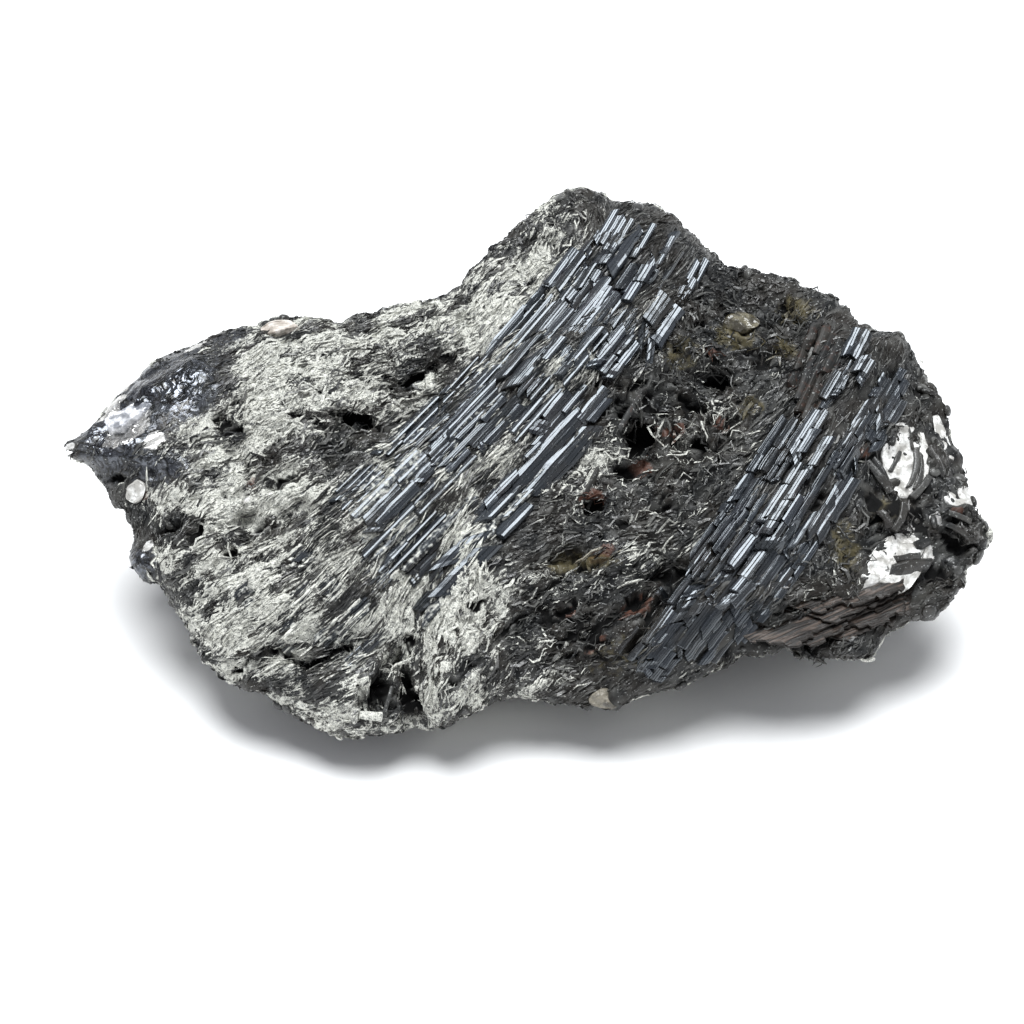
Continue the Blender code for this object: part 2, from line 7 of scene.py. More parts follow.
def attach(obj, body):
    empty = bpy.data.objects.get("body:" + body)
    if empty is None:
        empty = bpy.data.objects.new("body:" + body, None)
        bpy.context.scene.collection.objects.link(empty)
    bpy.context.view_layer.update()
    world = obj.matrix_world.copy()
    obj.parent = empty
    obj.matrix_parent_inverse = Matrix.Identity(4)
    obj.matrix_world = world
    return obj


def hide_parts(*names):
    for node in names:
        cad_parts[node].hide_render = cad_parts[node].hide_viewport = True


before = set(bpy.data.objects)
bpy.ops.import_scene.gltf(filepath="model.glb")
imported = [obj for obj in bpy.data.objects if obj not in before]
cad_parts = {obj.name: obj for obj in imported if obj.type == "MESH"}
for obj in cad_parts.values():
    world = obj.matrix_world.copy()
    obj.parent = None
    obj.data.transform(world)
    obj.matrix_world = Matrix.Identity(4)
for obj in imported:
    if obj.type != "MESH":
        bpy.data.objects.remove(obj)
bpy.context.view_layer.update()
mm = 0.001
turn = 2 * math.pi
print("frame loaded:", sorted(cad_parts))

# The stone is drawn on a board that leans back from the ground: x across it, s up it, w out of it, in mm.
lean = math.radians(50)
board = {
    "middle": np.array([0.0, -3.98, 18.05]),
    "axes": np.array([[1, 0, 0], [0, math.cos(lean), math.sin(lean)], [0, -math.sin(lean), math.cos(lean)]]),
    "prismRun": np.array([0.669, 0.671, 0.320]),  # the way the crystals grew, in the world
}
across, up, out = board["axes"]

stone = {
    "halfWidth": 50, "halfHeight": 30, "slope": 0.455,
    "front": 7.0, "frontCurve": (2.6, 2.0), "back": 46.0, "backCurve": (2.2, 2.0),
    "outlineDepth": 6.0, "outlineSlim": 0.05, "outlineBlur": 0.3,
    "faceNoises": ((5.0, 0.7), (2.6, 0.4)), "sideNoises": ((9.0, 0.05), (4.0, 0.03)),
    "breakDepth": 4.0, "stepCell": 9.0, "steps": 3, "breakNoise": ((3.0, 0.4),),
    "cells": (284, 168),  # grid cells across and up each half of the skin
    # the outline, as x and s, anticlockwise from the right end
    "outline": (
        (49.4, -8.4), (49.2, -7.2), (48.4, -4.5), (47.7, -3.1), (47.4, -0.3), (46.7, 2.4), (46.4, 5.2),
        (45.8, 7.2), (44.3, 9.5), (43.1, 12.1), (42.5, 13.7), (41.3, 14.7), (40.0, 14.5), (37.0, 15.4),
        (36.0, 17.6), (34.5, 18.4), (32.7, 19.5), (31.1, 20.0), (30.7, 20.8), (28.0, 21.5), (25.0, 22.2),
        (23.0, 22.3), (21.0, 24.0), (19.3, 25.9), (18.0, 27.0), (17.4, 28.3), (15.6, 29.0), (14.1, 29.8),
        (9.8, 30.1), (8.9, 31.1), (6.6, 31.7), (4.4, 31.3), (1.8, 29.5), (-0.8, 27.0), (-2.3, 25.5),
        (-6.0, 22.2), (-7.1, 19.9), (-9.7, 18.6), (-13.1, 18.0), (-17.9, 16.8), (-20.4, 15.7), (-24.6, 16.5),
        (-29.3, 16.0), (-30.1, 15.2), (-31.5, 15.4), (-33.3, 15.1), (-35.5, 13.7), (-38.4, 12.6),
        (-40.9, 11.4), (-42.6, 9.7), (-44.3, 8.1), (-45.6, 6.0), (-47.6, 3.8), (-50.2, 1.9), (-49.7, 0.9),
        (-48.7, 1.0), (-46.9, -0.4), (-45.0, -3.0), (-44.3, -4.6), (-43.2, -4.8), (-42.1, -7.4),
        (-41.9, -8.9), (-42.3, -10.1), (-42.0, -11.1), (-40.6, -12.8), (-39.0, -12.8), (-36.9, -15.6),
        (-35.7, -17.1), (-35.3, -18.6), (-33.7, -21.1), (-31.1, -23.2), (-30.3, -23.0), (-29.4, -24.0),
        (-27.0, -24.5), (-24.1, -26.4), (-21.3, -28.1), (-19.1, -28.6), (-14.2, -28.4), (-8.4, -27.5),
        (-4.9, -25.9), (-2.8, -24.7), (-0.8, -24.2), (0.5, -24.7), (6.8, -25.8), (9.6, -25.8), (10.5, -25.0),
        (13.6, -24.2), (16.0, -23.6), (20.5, -21.7), (22.5, -20.5), (26.3, -20.3), (27.6, -19.6),
        (30.6, -20.4), (31.6, -21.5), (34.1, -20.8), (36.3, -20.4), (37.1, -19.5), (38.1, -18.0),
        (40.6, -16.9), (43.7, -16.1), (44.6, -15.3), (46.4, -13.0), (47.0, -11.4), (48.9, -9.9),
    ),
    # crests and furrows: the line, its half width, and its height, below zero for a furrow
    "crests": (
        (((14.5, 27.0), (8.0, 18.0), (0.0, 8.0), (-9.0, -1.0), (-18.0, -8.0)), 6.0, 2.6),
        (((38.5, 13.0), (31.5, 3.5), (25.5, -6.5), (19.0, -14.5), (13.0, -20.0)), 4.6, 2.6),
        (((-6.5, -9.5), (-7.4, -16.0), (-6.5, -25.0)), 4.0, 2.2),
        (((-49.5, 1.4), (-44.0, 0.6), (-39.0, 0.8), (-36.0, -0.8)), 2.8, 1.8),
        (((-30.5, -20.5), (-24.0, -23.0), (-16.5, -24.0)), 2.6, 1.3),
        (((-9.0, -6.5), (-10.8, -12.0), (-11.8, -18.5), (-11.4, -26.5)), 2.2, -1.7),
        (((-29.5, -21.5), (-24.8, -20.0), (-21.0, -21.2), (-17.5, -18.6), (-13.5, -19.6)), 1.0, -1.2),
        (((2.0, 17.5), (-7.0, 7.5), (-16.0, -1.5)), 1.6, -1.2),
        (((24.0, 21.5), (30.5, 13.0), (27.0, 6.5), (20.0, -2.5), (14.0, -12.5)), 2.0, -1.3),
    ),
    # lumps and hollows: centre, half widths along and across, turn in degrees, and height
    "lumps": (
        ((17.0, 5.0), (9.5, 6.5), 45, -2.6), ((24.5, 17.5), (5.0, 3.5), -30, -1.2),
        ((4.5, 28.0), (4.5, 3.0), 35, 1.6), ((-24.5, -14.5), (8.0, 5.0), 30, 1.6),
        ((-26.0, 8.0), (8.0, 5.0), 10, 1.2), ((-18.8, 4.6), (2.6, 1.2), -20, -2.0),
        ((-11.3, 8.9), (1.9, 1.2), 30, -2.0), ((-29.6, -6.2), (1.8, 1.0), 30, -2.2),
        ((-25.8, -6.7), (1.6, 1.1), 60, -1.9), ((-23.2, -5.3), (1.5, 1.2), 0, -1.8),
        ((-38.6, -8.8), (1.4, 1.0), 20, -1.1), ((-41.5, -11.0), (1.8, 1.5), 0, 1.3),
        ((12.4, 2.4), (1.8, 1.3), -40, -2.2), ((13.4, -0.3), (1.5, 1.1), 20, -1.9),
        ((17.7, 1.3), (1.3, 1.0), 0, -1.8), ((6.8, -5.1), (1.5, 0.9), 40, -1.8),
        ((4.1, -10.3), (2.6, 1.0), 10, -1.6), ((21.4, 8.6), (1.7, 1.2), -30, -1.7),
        ((41.0, -7.4), (2.2, 1.4), 30, -1.8), ((44.0, -9.6), (2.6, 1.5), 60, -1.6),
        ((46.0, -7.0), (2.6, 2.0), 40, 1.6), ((44.5, -13.2), (2.4, 1.8), 20, 1.4),
        ((40.2, 12.6), (3.0, 2.0), -20, 1.0), ((33.5, -20.0), (4.0, 1.8), 10, 1.6),
        ((9.0, -22.5), (5.0, 1.8), 5, -1.4), ((-16.5, -25.8), (3.4, 1.4), -10, 1.1),
    ),
    # broken faces behind: outward direction, distance from the ground under the middle, height of the steps
    "breaks": (
        ((0.14, 0.96, 0.10), 35.6, 2.4), ((-0.58, 0.78, 0.20), 33.2, 2.0), ((0.62, 0.76, 0.16), 39.2, 2.2),
        ((-0.70, 0.12, -0.70), 21.8, 1.2), ((0.74, 0.02, -0.67), 26.5, 1.4), ((0.90, 0.42, 0.10), 45.9, 1.8),
        ((0.10, -0.62, -0.78), 14.1, 0.8),
    ),
    # open cracks, carved and painted near-black as shade: the line, its half width at both ends, and its
    # depth
    "cracks": (
        (((-13.3, -19.6), (-14.4, -22.2), (-15.6, -25.0)), (0.25, 2.0), 4.0),
        (((-12.5, -21.2), (-11.9, -24.0), (-11.4, -27.2)), (0.15, 1.3), 3.0),
        (((-9.0, -8.6), (-10.6, -12.6), (-11.8, -17.0), (-12.1, -20.4)), (0.16, 0.22), 1.3),
        (((-26.0, -19.6), (-22.6, -21.4), (-20.2, -19.8), (-17.9, -19.4)), (0.28, 0.30), 1.3),
        (((-30.4, -22.4), (-27.6, -20.0), (-26.0, -19.6)), (0.2, 0.3), 1.0),
        (((-18.2, -7.8), (-15.0, -8.3), (-12.0, -10.2), (-11.4, -11.6)), (0.16, 0.16), 0.8),
        (((20.0, 2.6), (12.4, -6.4)), (0.2, 0.2), 0.8),
        (((6.0, 3.2), (12.8, 8.8)), (0.2, 0.3), 0.8),
        (((14.8, -13.4), (10.6, -19.4)), (0.4, 0.5), 1.4),
    ),
    # sharp holes, carved and painted near-black as shade: centre, half widths along and across, turn in
    # degrees, depth
    "holes": (
        ((-37.6, -6.9), (1.3, 0.55), 35, 1.6), ((-34.6, -7.6), (0.5, 1.1), -25, 1.3),
        ((-31.3, 3.4), (1.5, 0.45), -12, 1.3), ((-28.2, -6.6), (0.9, 0.8), 0, 1.6),
        ((-31.0, -9.7), (1.0, 0.7), 20, 1.5), ((-18.4, 4.6), (2.2, 0.5), -14, 2.0),
        ((-25.4, -1.8), (1.6, 0.5), 35, 1.0), ((-11.8, 9.0), (0.9, 0.6), 20, 1.5),
        ((-12.6, 5.9), (0.5, 0.4), 0, 1.2), ((-13.8, 7.9), (0.6, 0.35), 30, 1.2),
        ((-9.9, 10.3), (0.8, 0.3), 20, 1.2), ((-9.2, 8.0), (0.4, 0.5), 0, 1.2),
        ((-21.6, 7.6), (0.6, 0.4), 0, 1.0), ((-15.8, 3.6), (0.8, 0.3), -20, 1.1),
        ((-33.6, 4.6), (0.7, 0.3), 20, 1.0), ((12.6, 2.3), (2.0, 1.0), 48, 2.2),
        ((16.4, 3.0), (0.6, 1.4), 10, 1.7), ((11.4, -1.0), (1.3, 0.9), -10, 2.0),
        ((18.6, 1.2), (0.7, 1.2), 0, 1.7), ((21.0, 8.8), (1.0, 0.7), -30, 1.6),
        ((18.0, 6.4), (1.6, 0.6), -35, 1.4), ((10.8, 5.4), (0.9, 0.6), 60, 1.4),
        ((7.6, -4.6), (0.9, 0.4), 20, 1.4), ((14.6, -5.0), (0.7, 0.4), 30, 1.2),
        ((24.6, 12.6), (1.3, 0.5), -30, 1.3), ((8.0, 8.2), (0.9, 0.5), 30, 1.2),
        ((5.2, -11.2), (2.4, 0.35), 10, 1.1), ((33.9, -2.6), (0.5, 1.2), -20, 1.2),
        ((30.6, -4.4), (1.0, 0.5), 60, 1.0), ((36.6, -6.2), (1.3, 0.7), 30, 1.4),
        ((36.8, -4.0), (1.0, 0.8), -20, 1.3), ((42.6, -7.2), (1.4, 0.5), -20, 1.2),
        ((45.3, -8.8), (1.5, 0.7), -40, 1.6), ((43.8, -11.8), (0.8, 0.6), 0, 1.2),
        ((29.4, -15.0), (3.4, 0.5), 12, 1.6), ((36.6, 0.3), (1.6, 0.45), 15, 1.3),
        ((-44.0, -1.9), (1.1, 0.5), 10, 0.8), ((4.3, -15.2), (1.4, 0.5), 28, 1.2),
        ((11.2, -14.6), (1.7, 0.7), 25, 1.6), ((7.2, -19.2), (1.4, 0.45), 40, 1.2),
        ((2.8, -16.6), (1.6, 0.4), 5, 1.0), ((15.6, -11.8), (1.6, 0.6), 30, 1.5),
        ((-7.6, -22.8), (0.8, 0.6), 20, 1.0), ((-4.8, -15.0), (0.9, 0.35), 10, 0.8),
    ),
}

# Soft patches on the face: centre x and s, half sizes along and across, turn in degrees, strength.
patches = {
    "dust": (
        (-25, 9, 13, 8, 15, 0.95), (-30, 2, 12, 8, 20, 0.92), (-31, -7, 11, 8, 30, 0.9),
        (-28, -17, 11, 8, 30, 0.95), (-15, -13, 9, 9, 40, 0.95), (-13, 12, 9, 7, 20, 0.85),
        (0, 20, 8, 5, 50, 0.88), (-5, 15, 9, 6, 50, 0.9), (-6.6, -16, 4.6, 11, 0, 0.92),
        (-14, -2, 10, 5, 45, 0.56), (-4, 0, 9, 5, 47, 0.5), (-20, -24, 14, 4, -10, 0.9),
        (0, -21, 7, 5, 10, 0.36), (3, -13, 8, 4, 10, 0.30), (14, -9, 11, 4, 20, 0.24),
        (20, -20, 10, 3, 10, 0.22), (-29, -19, 8, 5, 25, 1.0), (-20, 15, 10, 3, 5, 0.7),
        (2, 27, 5, 4, 30, 0.4), (2, 8, 9, 4, 47, 0.35), (8, -1, 7, 4, 45, 0.36), (12, 14, 6, 4, 45, 0.25),
        (19, 4, 10, 8, 0, 0.18), (40, 2, 8, 10, 0, 0.08), (34, -13, 8, 4, 30, 0.12),
    ),
    "bare": (  # patches that thin the dust, leaving the face darker there
        (-12.0, 11.0, 6.5, 4.2, 10, 0.65), (-20.6, 5.0, 6.0, 2.2, -10, 0.65),
        (-31.3, 3.6, 3.2, 1.6, -15, 0.7), (-37.5, -7.3, 4.5, 2.2, 15, 0.7), (-28.6, -8.4, 5.0, 2.6, 25, 0.45),
        (-21.2, -22.7, 9.0, 2.0, 5, 0.6), (-33.6, -20.4, 2.6, 1.8, -40, 0.5),
        (-24.5, 1.4, 5.0, 2.4, 20, 0.35), (-17.4, -12.7, 6.0, 2.2, 45, 0.4), (-20.0, 15.4, 9.0, 1.6, 0, 0.5),
        (-26.0, -15.0, 6.0, 1.4, 35, 0.35), (-6.0, 19.0, 4.0, 1.4, 40, 0.4), (-1.0, -21.5, 6.0, 1.6, 10, 0.6),
        (-36.0, 2.0, 3.0, 2.0, 60, 0.3), (3.0, -17.0, 6.0, 3.0, 10, 0.6),
    ),
    "whiteCrustAndGlare": (  # thin milky crusts on the skin; those on the polished beak are painted mirror reflections
        (-42.9, 3.8, 3.2, 1.8, 35, 1.0), (-39.6, 2.4, 1.3, 1.1, 30, 1.0), (-45.6, 5.8, 3.0, 0.6, 43, 1.0),
        (-49.3, 1.7, 0.8, 0.5, 30, 1.0), (-43.8, 8.3, 1.0, 0.4, 45, 0.7), (-36.6, 12.9, 2.0, 0.4, 25, 0.6),
        (47.3, 2.0, 4.6, 0.22, 103, 0.7), (47.3, -3.7, 1.3, 0.8, -50, 1.0), (43.6, -5.9, 0.8, 0.6, 0, 1.0),
        (41.0, -7.0, 0.9, 0.5, 10, 1.0), (-40.0, -8.9, 0.8, 0.5, 35, 1.0), (36.6, -13.0, 2.0, 1.2, 60, 1.0),
        (42.4, -9.6, 1.0, 1.4, 10, 0.9), (37.6, -12.4, 2.4, 0.7, 20, 0.8), (-29.6, -3.8, 0.6, 0.8, 0, 0.7),
    ),
    "felt": (  # where the fibres lie tangled
        (-24, 6, 16, 8, 20, 1.0), (16, 7, 9, 14, 0, 1.0), (24, 15, 8, 7, 0, 1.0), (4, 27, 7, 5, 30, 0.8),
        (43, -8, 7, 7, 0, 1.0), (-10, 13, 8, 6, 20, 0.9), (8, -4, 7, 6, 0, 0.8), (41, 8, 5, 8, 0, 0.6),
        (33, -12, 7, 6, 40, 0.8), (-33, -8, 8, 6, 30, 0.7), (-7, -16, 6, 11, 0, 0.75),
        (-28, -17, 10, 8, 30, 0.5), (3, -16, 8, 7, 10, 0.6), (1, 21, 6, 4, 50, 0.7),
    ),
    "rust": (
        (7.0, -4.0, 1.6, 1.2, 40, 1.0), (8.0, -9.6, 1.8, 0.8, 30, 0.8), (16, 3.4, 1.6, 0.8, 30, 0.8),
        (21, 4.2, 1.0, 0.8, 0, 0.8), (12.5, -0.5, 1.2, 0.8, 0, 0.9), (-18.6, 4.8, 0.9, 0.6, 0, 0.7),
        (-29, -2.2, 0.8, 0.8, 0, 0.6), (11.4, -15.0, 2.0, 0.9, 30, 1.0), (4.4, -15.6, 1.3, 0.6, 30, 0.9),
        (7.2, -19.0, 1.5, 0.6, 40, 0.9), (36.0, 1.2, 1.6, 1.2, 60, 0.45), (20.5, 12.0, 1.0, 0.7, 0, 0.6),
        (46.2, -5.4, 1.4, 0.6, -20, 0.6), (-40.6, -3.6, 0.7, 0.9, 0, 0.5),
    ),
    "olive": (
        (23, 14, 3.0, 2, 0, 0.6), (28.5, 12.6, 1.8, 1.4, 0, 0.6), (24.5, 6.0, 2.2, 1.6, 30, 0.5),
        (17, 12, 3, 3, 0, 0.45), (6, -10.5, 5, 1.2, 5, 0.6), (33.5, -9, 2.2, 4, 10, 0.5),
        (38, -5, 2, 2, 0, 0.5), (10, -20, 6, 3, 20, 0.35), (-20, 16, 4, 1.4, 0, 0.3), (30, 17, 3, 2, 0, 0.5),
    ),
    "layers": (  # where the fibres part in layers
        (4, -16, 9, 7, 10, 1.0), (14, -13, 6, 6, 30, 0.8), (30, -18, 8, 3, 15, 0.9), (41, -8, 6, 5, 0, 0.7),
        (17, 8, 7, 8, 40, 0.5),
    ),
    "smooth": (  # polished, lead-grey skin
        (-44, 3.0, 5.4, 4.4, 25, 1.0), (-37.5, 8.5, 5.0, 4.6, 40, 1.0), (-42, 8, 5, 3.4, 45, 1.0),
        (-39, -0.6, 4, 1.9, 0, 1.0), (-41, -11, 2.2, 2.0, 0, 1.0), (-33, 13.6, 2.6, 1.4, 20, 0.6),
    ),
}

# The way the fibres lie on the face: x, s, degrees from the board's x.
grainWay = np.array([
    (14, 26, 47), (6, 16, 47), (-3, 5, 47), (-14, -7, 46), (37, 11, 54), (30, 1, 54), (23, -9, 52),
    (15, -19, 50), (-24, -10, 36), (-30, -17, 32), (-20, -17, 42), (-13, -15, 62), (-11, -22, 80),
    (-7, -12, 78), (-5, -20, 62), (-3, -9, 50), (2, -12, 12), (3, -17, 14), (2, -22, 22), (8, -14, 20),
    (10, -9, 10), (14, -14, 34), (-34, -4, 28), (-28, 3, 34), (-22, 8, 36), (-30, 11, 46), (-40, 6, 58),
    (-45, 3, 40), (-42, -8, 100), (-14, 12, 30), (2, 23, 60), (5, 29, 100), (-4, 20, 52), (10, 4, 50),
    (17, 9, 52), (22, 15, 20), (28, 10, 50), (40, 0, 70), (43, 8, 62), (42, -9, 50), (36, -12, 60),
    (30, -14, 48), (44, -14, 30), (-24, -23, 20), (-18, -26, 10), (20, -19, 30),
])
grainPlaces = (  # the grains of other minerals: centre, half sizes, turn in degrees
    ((40.6, -0.6), (5.0, 3.2), 78), ((38.8, -10.9), (4.6, 2.6), 38), ((45.9, 2.4), (5.2, 1.2), 104),
    ((46.0, -4.0), (1.4, 1.0), 20), ((-43.3, 4.6), (3.8, 2.1), 38), ((-41.3, -3.1), (1.5, 1.1), 30),
    ((-27.0, 14.9), (2.3, 1.1), 4), ((8.4, -24.6), (2.2, 1.3), 8), ((23.7, 15.4), (2.4, 1.4), 0),
)
ledgeLine = ((21.5, -20.0), (33.7, -16.4), (41.5, -12.8))  # where the brown leaves come out of the face
# The bands of long crystals: the middle line, the width at both ends, and how far it keeps the felt off.
bands = {
    "middle": {
        "line": ((15.5, 28.0), (8.0, 17.0), (-2.0, 5.0), (-15.0, -8.5)), "widths": (11.5, 15.5),
        "strength": 1.0,
    },
    "right": {
        "line": ((39.5, 14.6), (31.0, 2.5), (24.0, -7.5), (14.0, -20.4)), "widths": (9.0, 8.5),
        "strength": 1.0,
    },
    "fan": {
        "line": ((-11.6, -5.5), (-17.6, -11.6), (-25.0, -18.4)), "widths": (10.0, 14.0), "strength": 0.55,
    },
}

hashPrimes = (374761393, 668265263, 2147483647)  # for x, y and z
seedPrime, mixPrime, lowBits = 974711, 1274126177, 0xFFFFFFFF


def latticeNoise(points, cell, seed):
    # value = the hashed numbers of the eight lattice corners round a point, blended by smooth steps: -1 to 1
    scaled = points / cell + 1000
    corner = np.floor(scaled).astype(np.int64)
    share = scaled - corner
    share = share * share * (3 - 2 * share)
    total = np.zeros(len(points))
    for step in np.ndindex(2, 2, 2):
        at = corner + step
        mixed = (sum(at[:, axis] * hashPrimes[axis] for axis in range(3)) + seed * seedPrime) & lowBits
        mixed = ((mixed ^ (mixed >> 13)) * mixPrime) & lowBits
        value = ((mixed ^ (mixed >> 16)) & 0xFFFF) / 32767.5 - 1
        weight = np.ones(len(points))
        for axis in range(3):
            weight = weight * (share[:, axis] if step[axis] else 1 - share[:, axis])
        total += value * weight
    return total


def manyNoises(points, noises, seed, apart=1):
    # value = the sum of height times noise over the rows of cell and height
    return sum(height * latticeNoise(points, cell, seed + apart * i)
               for i, (cell, height) in enumerate(noises))


def unit(vectors):
    # each vector divided by its length
    return vectors / np.maximum(np.linalg.norm(vectors, axis=-1, keepdims=True), 1e-12)


def flatten(vectors, normals):
    # each vector less its part along the normal
    return vectors - (vectors * normals).sum(1)[:, None] * normals


def ramp(values, start, width):
    # 0 up to start, 1 from start + width on, and straight in between
    return np.clip((values - start) / width, 0, 1)


def outlineReach(angle):
    # reach = the outline's distance at that angle, as a share of the half-size ellipse
    points = np.array(stone["outline"]) / (stone["halfWidth"], stone["halfHeight"])
    angles = np.arctan2(points[:, 1], points[:, 0])
    order = np.argsort(angles)
    return np.interp(angle, angles[order], np.hypot(*points.T)[order], period=turn)


def outlineShare(x, s):
    # 0 in the middle of the board and 1 on the outline
    wide, high = x / stone["halfWidth"], s / stone["halfHeight"]
    return np.hypot(wide, high) / outlineReach(np.arctan2(high, wide))


def stretchDistance(x, s, start, end):
    # distance to the straight stretch from start to end, and the share of it at the nearest point
    (x0, s0), (runX, runS) = start, (end[0] - start[0], end[1] - start[1])
    share = np.clip(((x - x0) * runX + (s - s0) * runS) / (runX**2 + runS**2), 0, 1)
    return np.hypot(x - x0 - share * runX, s - s0 - share * runS), share


def lineDistance(x, s, points):
    # distance = the least of the distances to the straight stretches of the line
    return np.min([stretchDistance(x, s, start, end)[0] for start, end in zip(points, points[1:])], axis=0)


def lineMarks(line):
    # the line's whole length, and each of its points' share of it
    lengths = np.hypot(*np.diff(np.array(line), axis=0).T)
    marks = np.concatenate([[0], np.cumsum(lengths)])
    return lengths.sum(), marks / marks[-1]


def ellipseSquare(x, s, centre, sizes, degrees):
    # square = (along / half length)^2 + (across / half width)^2, in the ellipse's own turned axes
    cosine, sine = math.cos(math.radians(degrees)), math.sin(math.radians(degrees))
    along = ((x - centre[0]) * cosine + (s - centre[1]) * sine) / sizes[0]
    side = ((s - centre[1]) * cosine - (x - centre[0]) * sine) / sizes[1]
    return along**2 + side**2


def patchStrength(name, x, s):
    # strength = the most of the patches' strengths, each falling off as exp(-square^1.5)
    most = np.zeros(np.shape(x))
    for centreX, centreS, along, side, degrees, strength in patches[name]:
        square = ellipseSquare(x, s, (centreX, centreS), (along, side), degrees)
        most = np.maximum(most, strength * np.exp(-(square**1.5)))
    return most


def swell(reach, curve):
    # fullness = (1 - reach^inner)^(1 / outer)
    return np.clip(1 - reach ** curve[0], 0, 1) ** (1 / curve[1])


def faceRelief(x, s):
    # relief = the sum of height * exp(-(distance / width)^2) over the crests and the lumps
    relief = np.zeros(np.shape(x))
    for points, width, height in stone["crests"]:
        relief = relief + height * np.exp(-((lineDistance(x, s, points) / width) ** 2))
    for centre, sizes, degrees, height in stone["lumps"]:
        relief = relief + height * np.exp(-ellipseSquare(x, s, centre, sizes, degrees))
    return relief


def faceHeight(x, s):
    # w = -slope * s + front * fullness + relief
    bulge = stone["front"] * swell(outlineShare(x, s), stone["frontCurve"])
    return -stone["slope"] * s + bulge + faceRelief(x, s)


def faceNoise(x, s):
    # the small unevenness of the face there
    return manyNoises(np.stack([x, s, faceHeight(x, s)], 1), stone["faceNoises"], 1)


def boardPoints(x, s, w):
    # world = middle + x * across + s * up + w * out
    return np.stack([x, s, w], axis=-1) @ board["axes"] + board["middle"]


def facePoints(x, s):
    # the face's world points at x and s
    x, s = np.asarray(x, float), np.asarray(s, float)
    return boardPoints(x, s, faceHeight(x, s))


def onBoard(points):
    # x, s and w of world points
    return ((points - board["middle"]) @ board["axes"].T).T


def stonePoints(x, y, side):
    # the stone's bare form over the unit disc: the face for side 1, and the back for side -1, as in the
    # solid; away from the face the outline is blurred and slimmed by 1 - exp(-depth / outlineDepth), and
    # what stands past a broken face is pushed down to it
    angle, reach = np.arctan2(y, x), np.hypot(x, y)
    height = side * np.sin((1 - reach) * math.pi / 2)
    depth = np.where(side > 0, 0, stone["back"] * swell(reach, stone["backCurve"]))
    sharp = outlineReach(angle)
    blur = np.linspace(-stone["outlineBlur"], stone["outlineBlur"], 9)
    smooth = sum(outlineReach(angle + part) for part in blur) / len(blur)
    detail = np.exp(-depth / stone["outlineDepth"])
    slim = stone["outlineSlim"]
    rim = reach * (smooth - slim + (sharp - smooth + slim) * detail)
    rimX, rimS = stone["halfWidth"] * rim * np.cos(angle), stone["halfHeight"] * rim * np.sin(angle)
    rimW = -stone["slope"] * rimS - depth + np.clip(0.5 + 2 * height, 0, 1) * faceRelief(rimX, rimS)
    rimW += np.where(side > 0, stone["front"] * swell(reach, stone["frontCurve"]), 0)
    drawn = np.stack([rimX, rimS, rimW], axis=1)
    drawn[:, :2] *= (1 + (1 - detail) * manyNoises(drawn, stone["sideNoises"], 4))[:, None]
    drawn[:, 2] += manyNoises(drawn, stone["faceNoises"], 1)
    form = drawn @ board["axes"] + (0, 0, board["middle"][2])
    behind = np.clip(depth / stone["breakDepth"], 0, 1)
    for seed, (normal, distance, step) in enumerate(stone["breaks"]):
        normal = unit(np.array(normal))
        stair = np.floor(stone["steps"] * latticeNoise(form, stone["stepCell"], 10 + seed)) / stone["steps"]
        rough = distance + step * stair + manyNoises(form, stone["breakNoise"], 3)
        form -= (np.maximum(form @ normal - rough, 0) * behind)[:, None] * normal
    return form + (board["middle"][0], board["middle"][1], 0)


fibreLook = {
    "spread": 40,  # how far a listed direction counts, in square millimetres
    # how far tangled fibres turn, and the cell of the noise that turns them
    "turns": ((2.2, 1.3), (1.2, 0.5)),
    "behind": (0.35, 2),  # the same behind
}


def facing(normals, steep, start=0.0):
    # share = steep * (normal . out) + start, held between 0 and 1
    return np.clip(steep * (normals @ out) + start, 0, 1)


def fibreWay(points, normals, tangle):
    # the way fibres lie: a blend of the listed directions on the face and the crystals' run behind,
    # turned by noise in proportion to tangle, and laid into the surface
    x, s, _ = onBoard(points)
    away = (x[:, None] - grainWay[:, 0]) ** 2 + (s[:, None] - grainWay[:, 1]) ** 2
    near = np.exp(-away / fibreLook["spread"]) + 1e-9
    double = np.radians(2 * grainWay[:, 2])
    angle = 0.5 * np.arctan2(near @ np.sin(double), near @ np.cos(double))
    for seed, (turned, cell) in enumerate(fibreLook["turns"], 41):
        angle = angle + tangle * turned * latticeNoise(points, cell, seed)
    onFace = facing(normals, 3)[:, None]
    drawn = np.cos(angle)[:, None] * across + np.sin(angle)[:, None] * up
    turned, cell = fibreLook["behind"]
    swerve = np.stack([latticeNoise(points, cell, 43 + axis) for axis in range(3)], 1)
    behind = board["prismRun"] + turned * tangle[:, None] * swerve
    return unit(flatten(drawn * onFace + unit(behind) * (1 - onFace), normals))


def putObject(name, data):
    # links an object that holds the data
    thing = bpy.data.objects.new(name, data)
    bpy.context.scene.collection.objects.link(thing)
    return thing


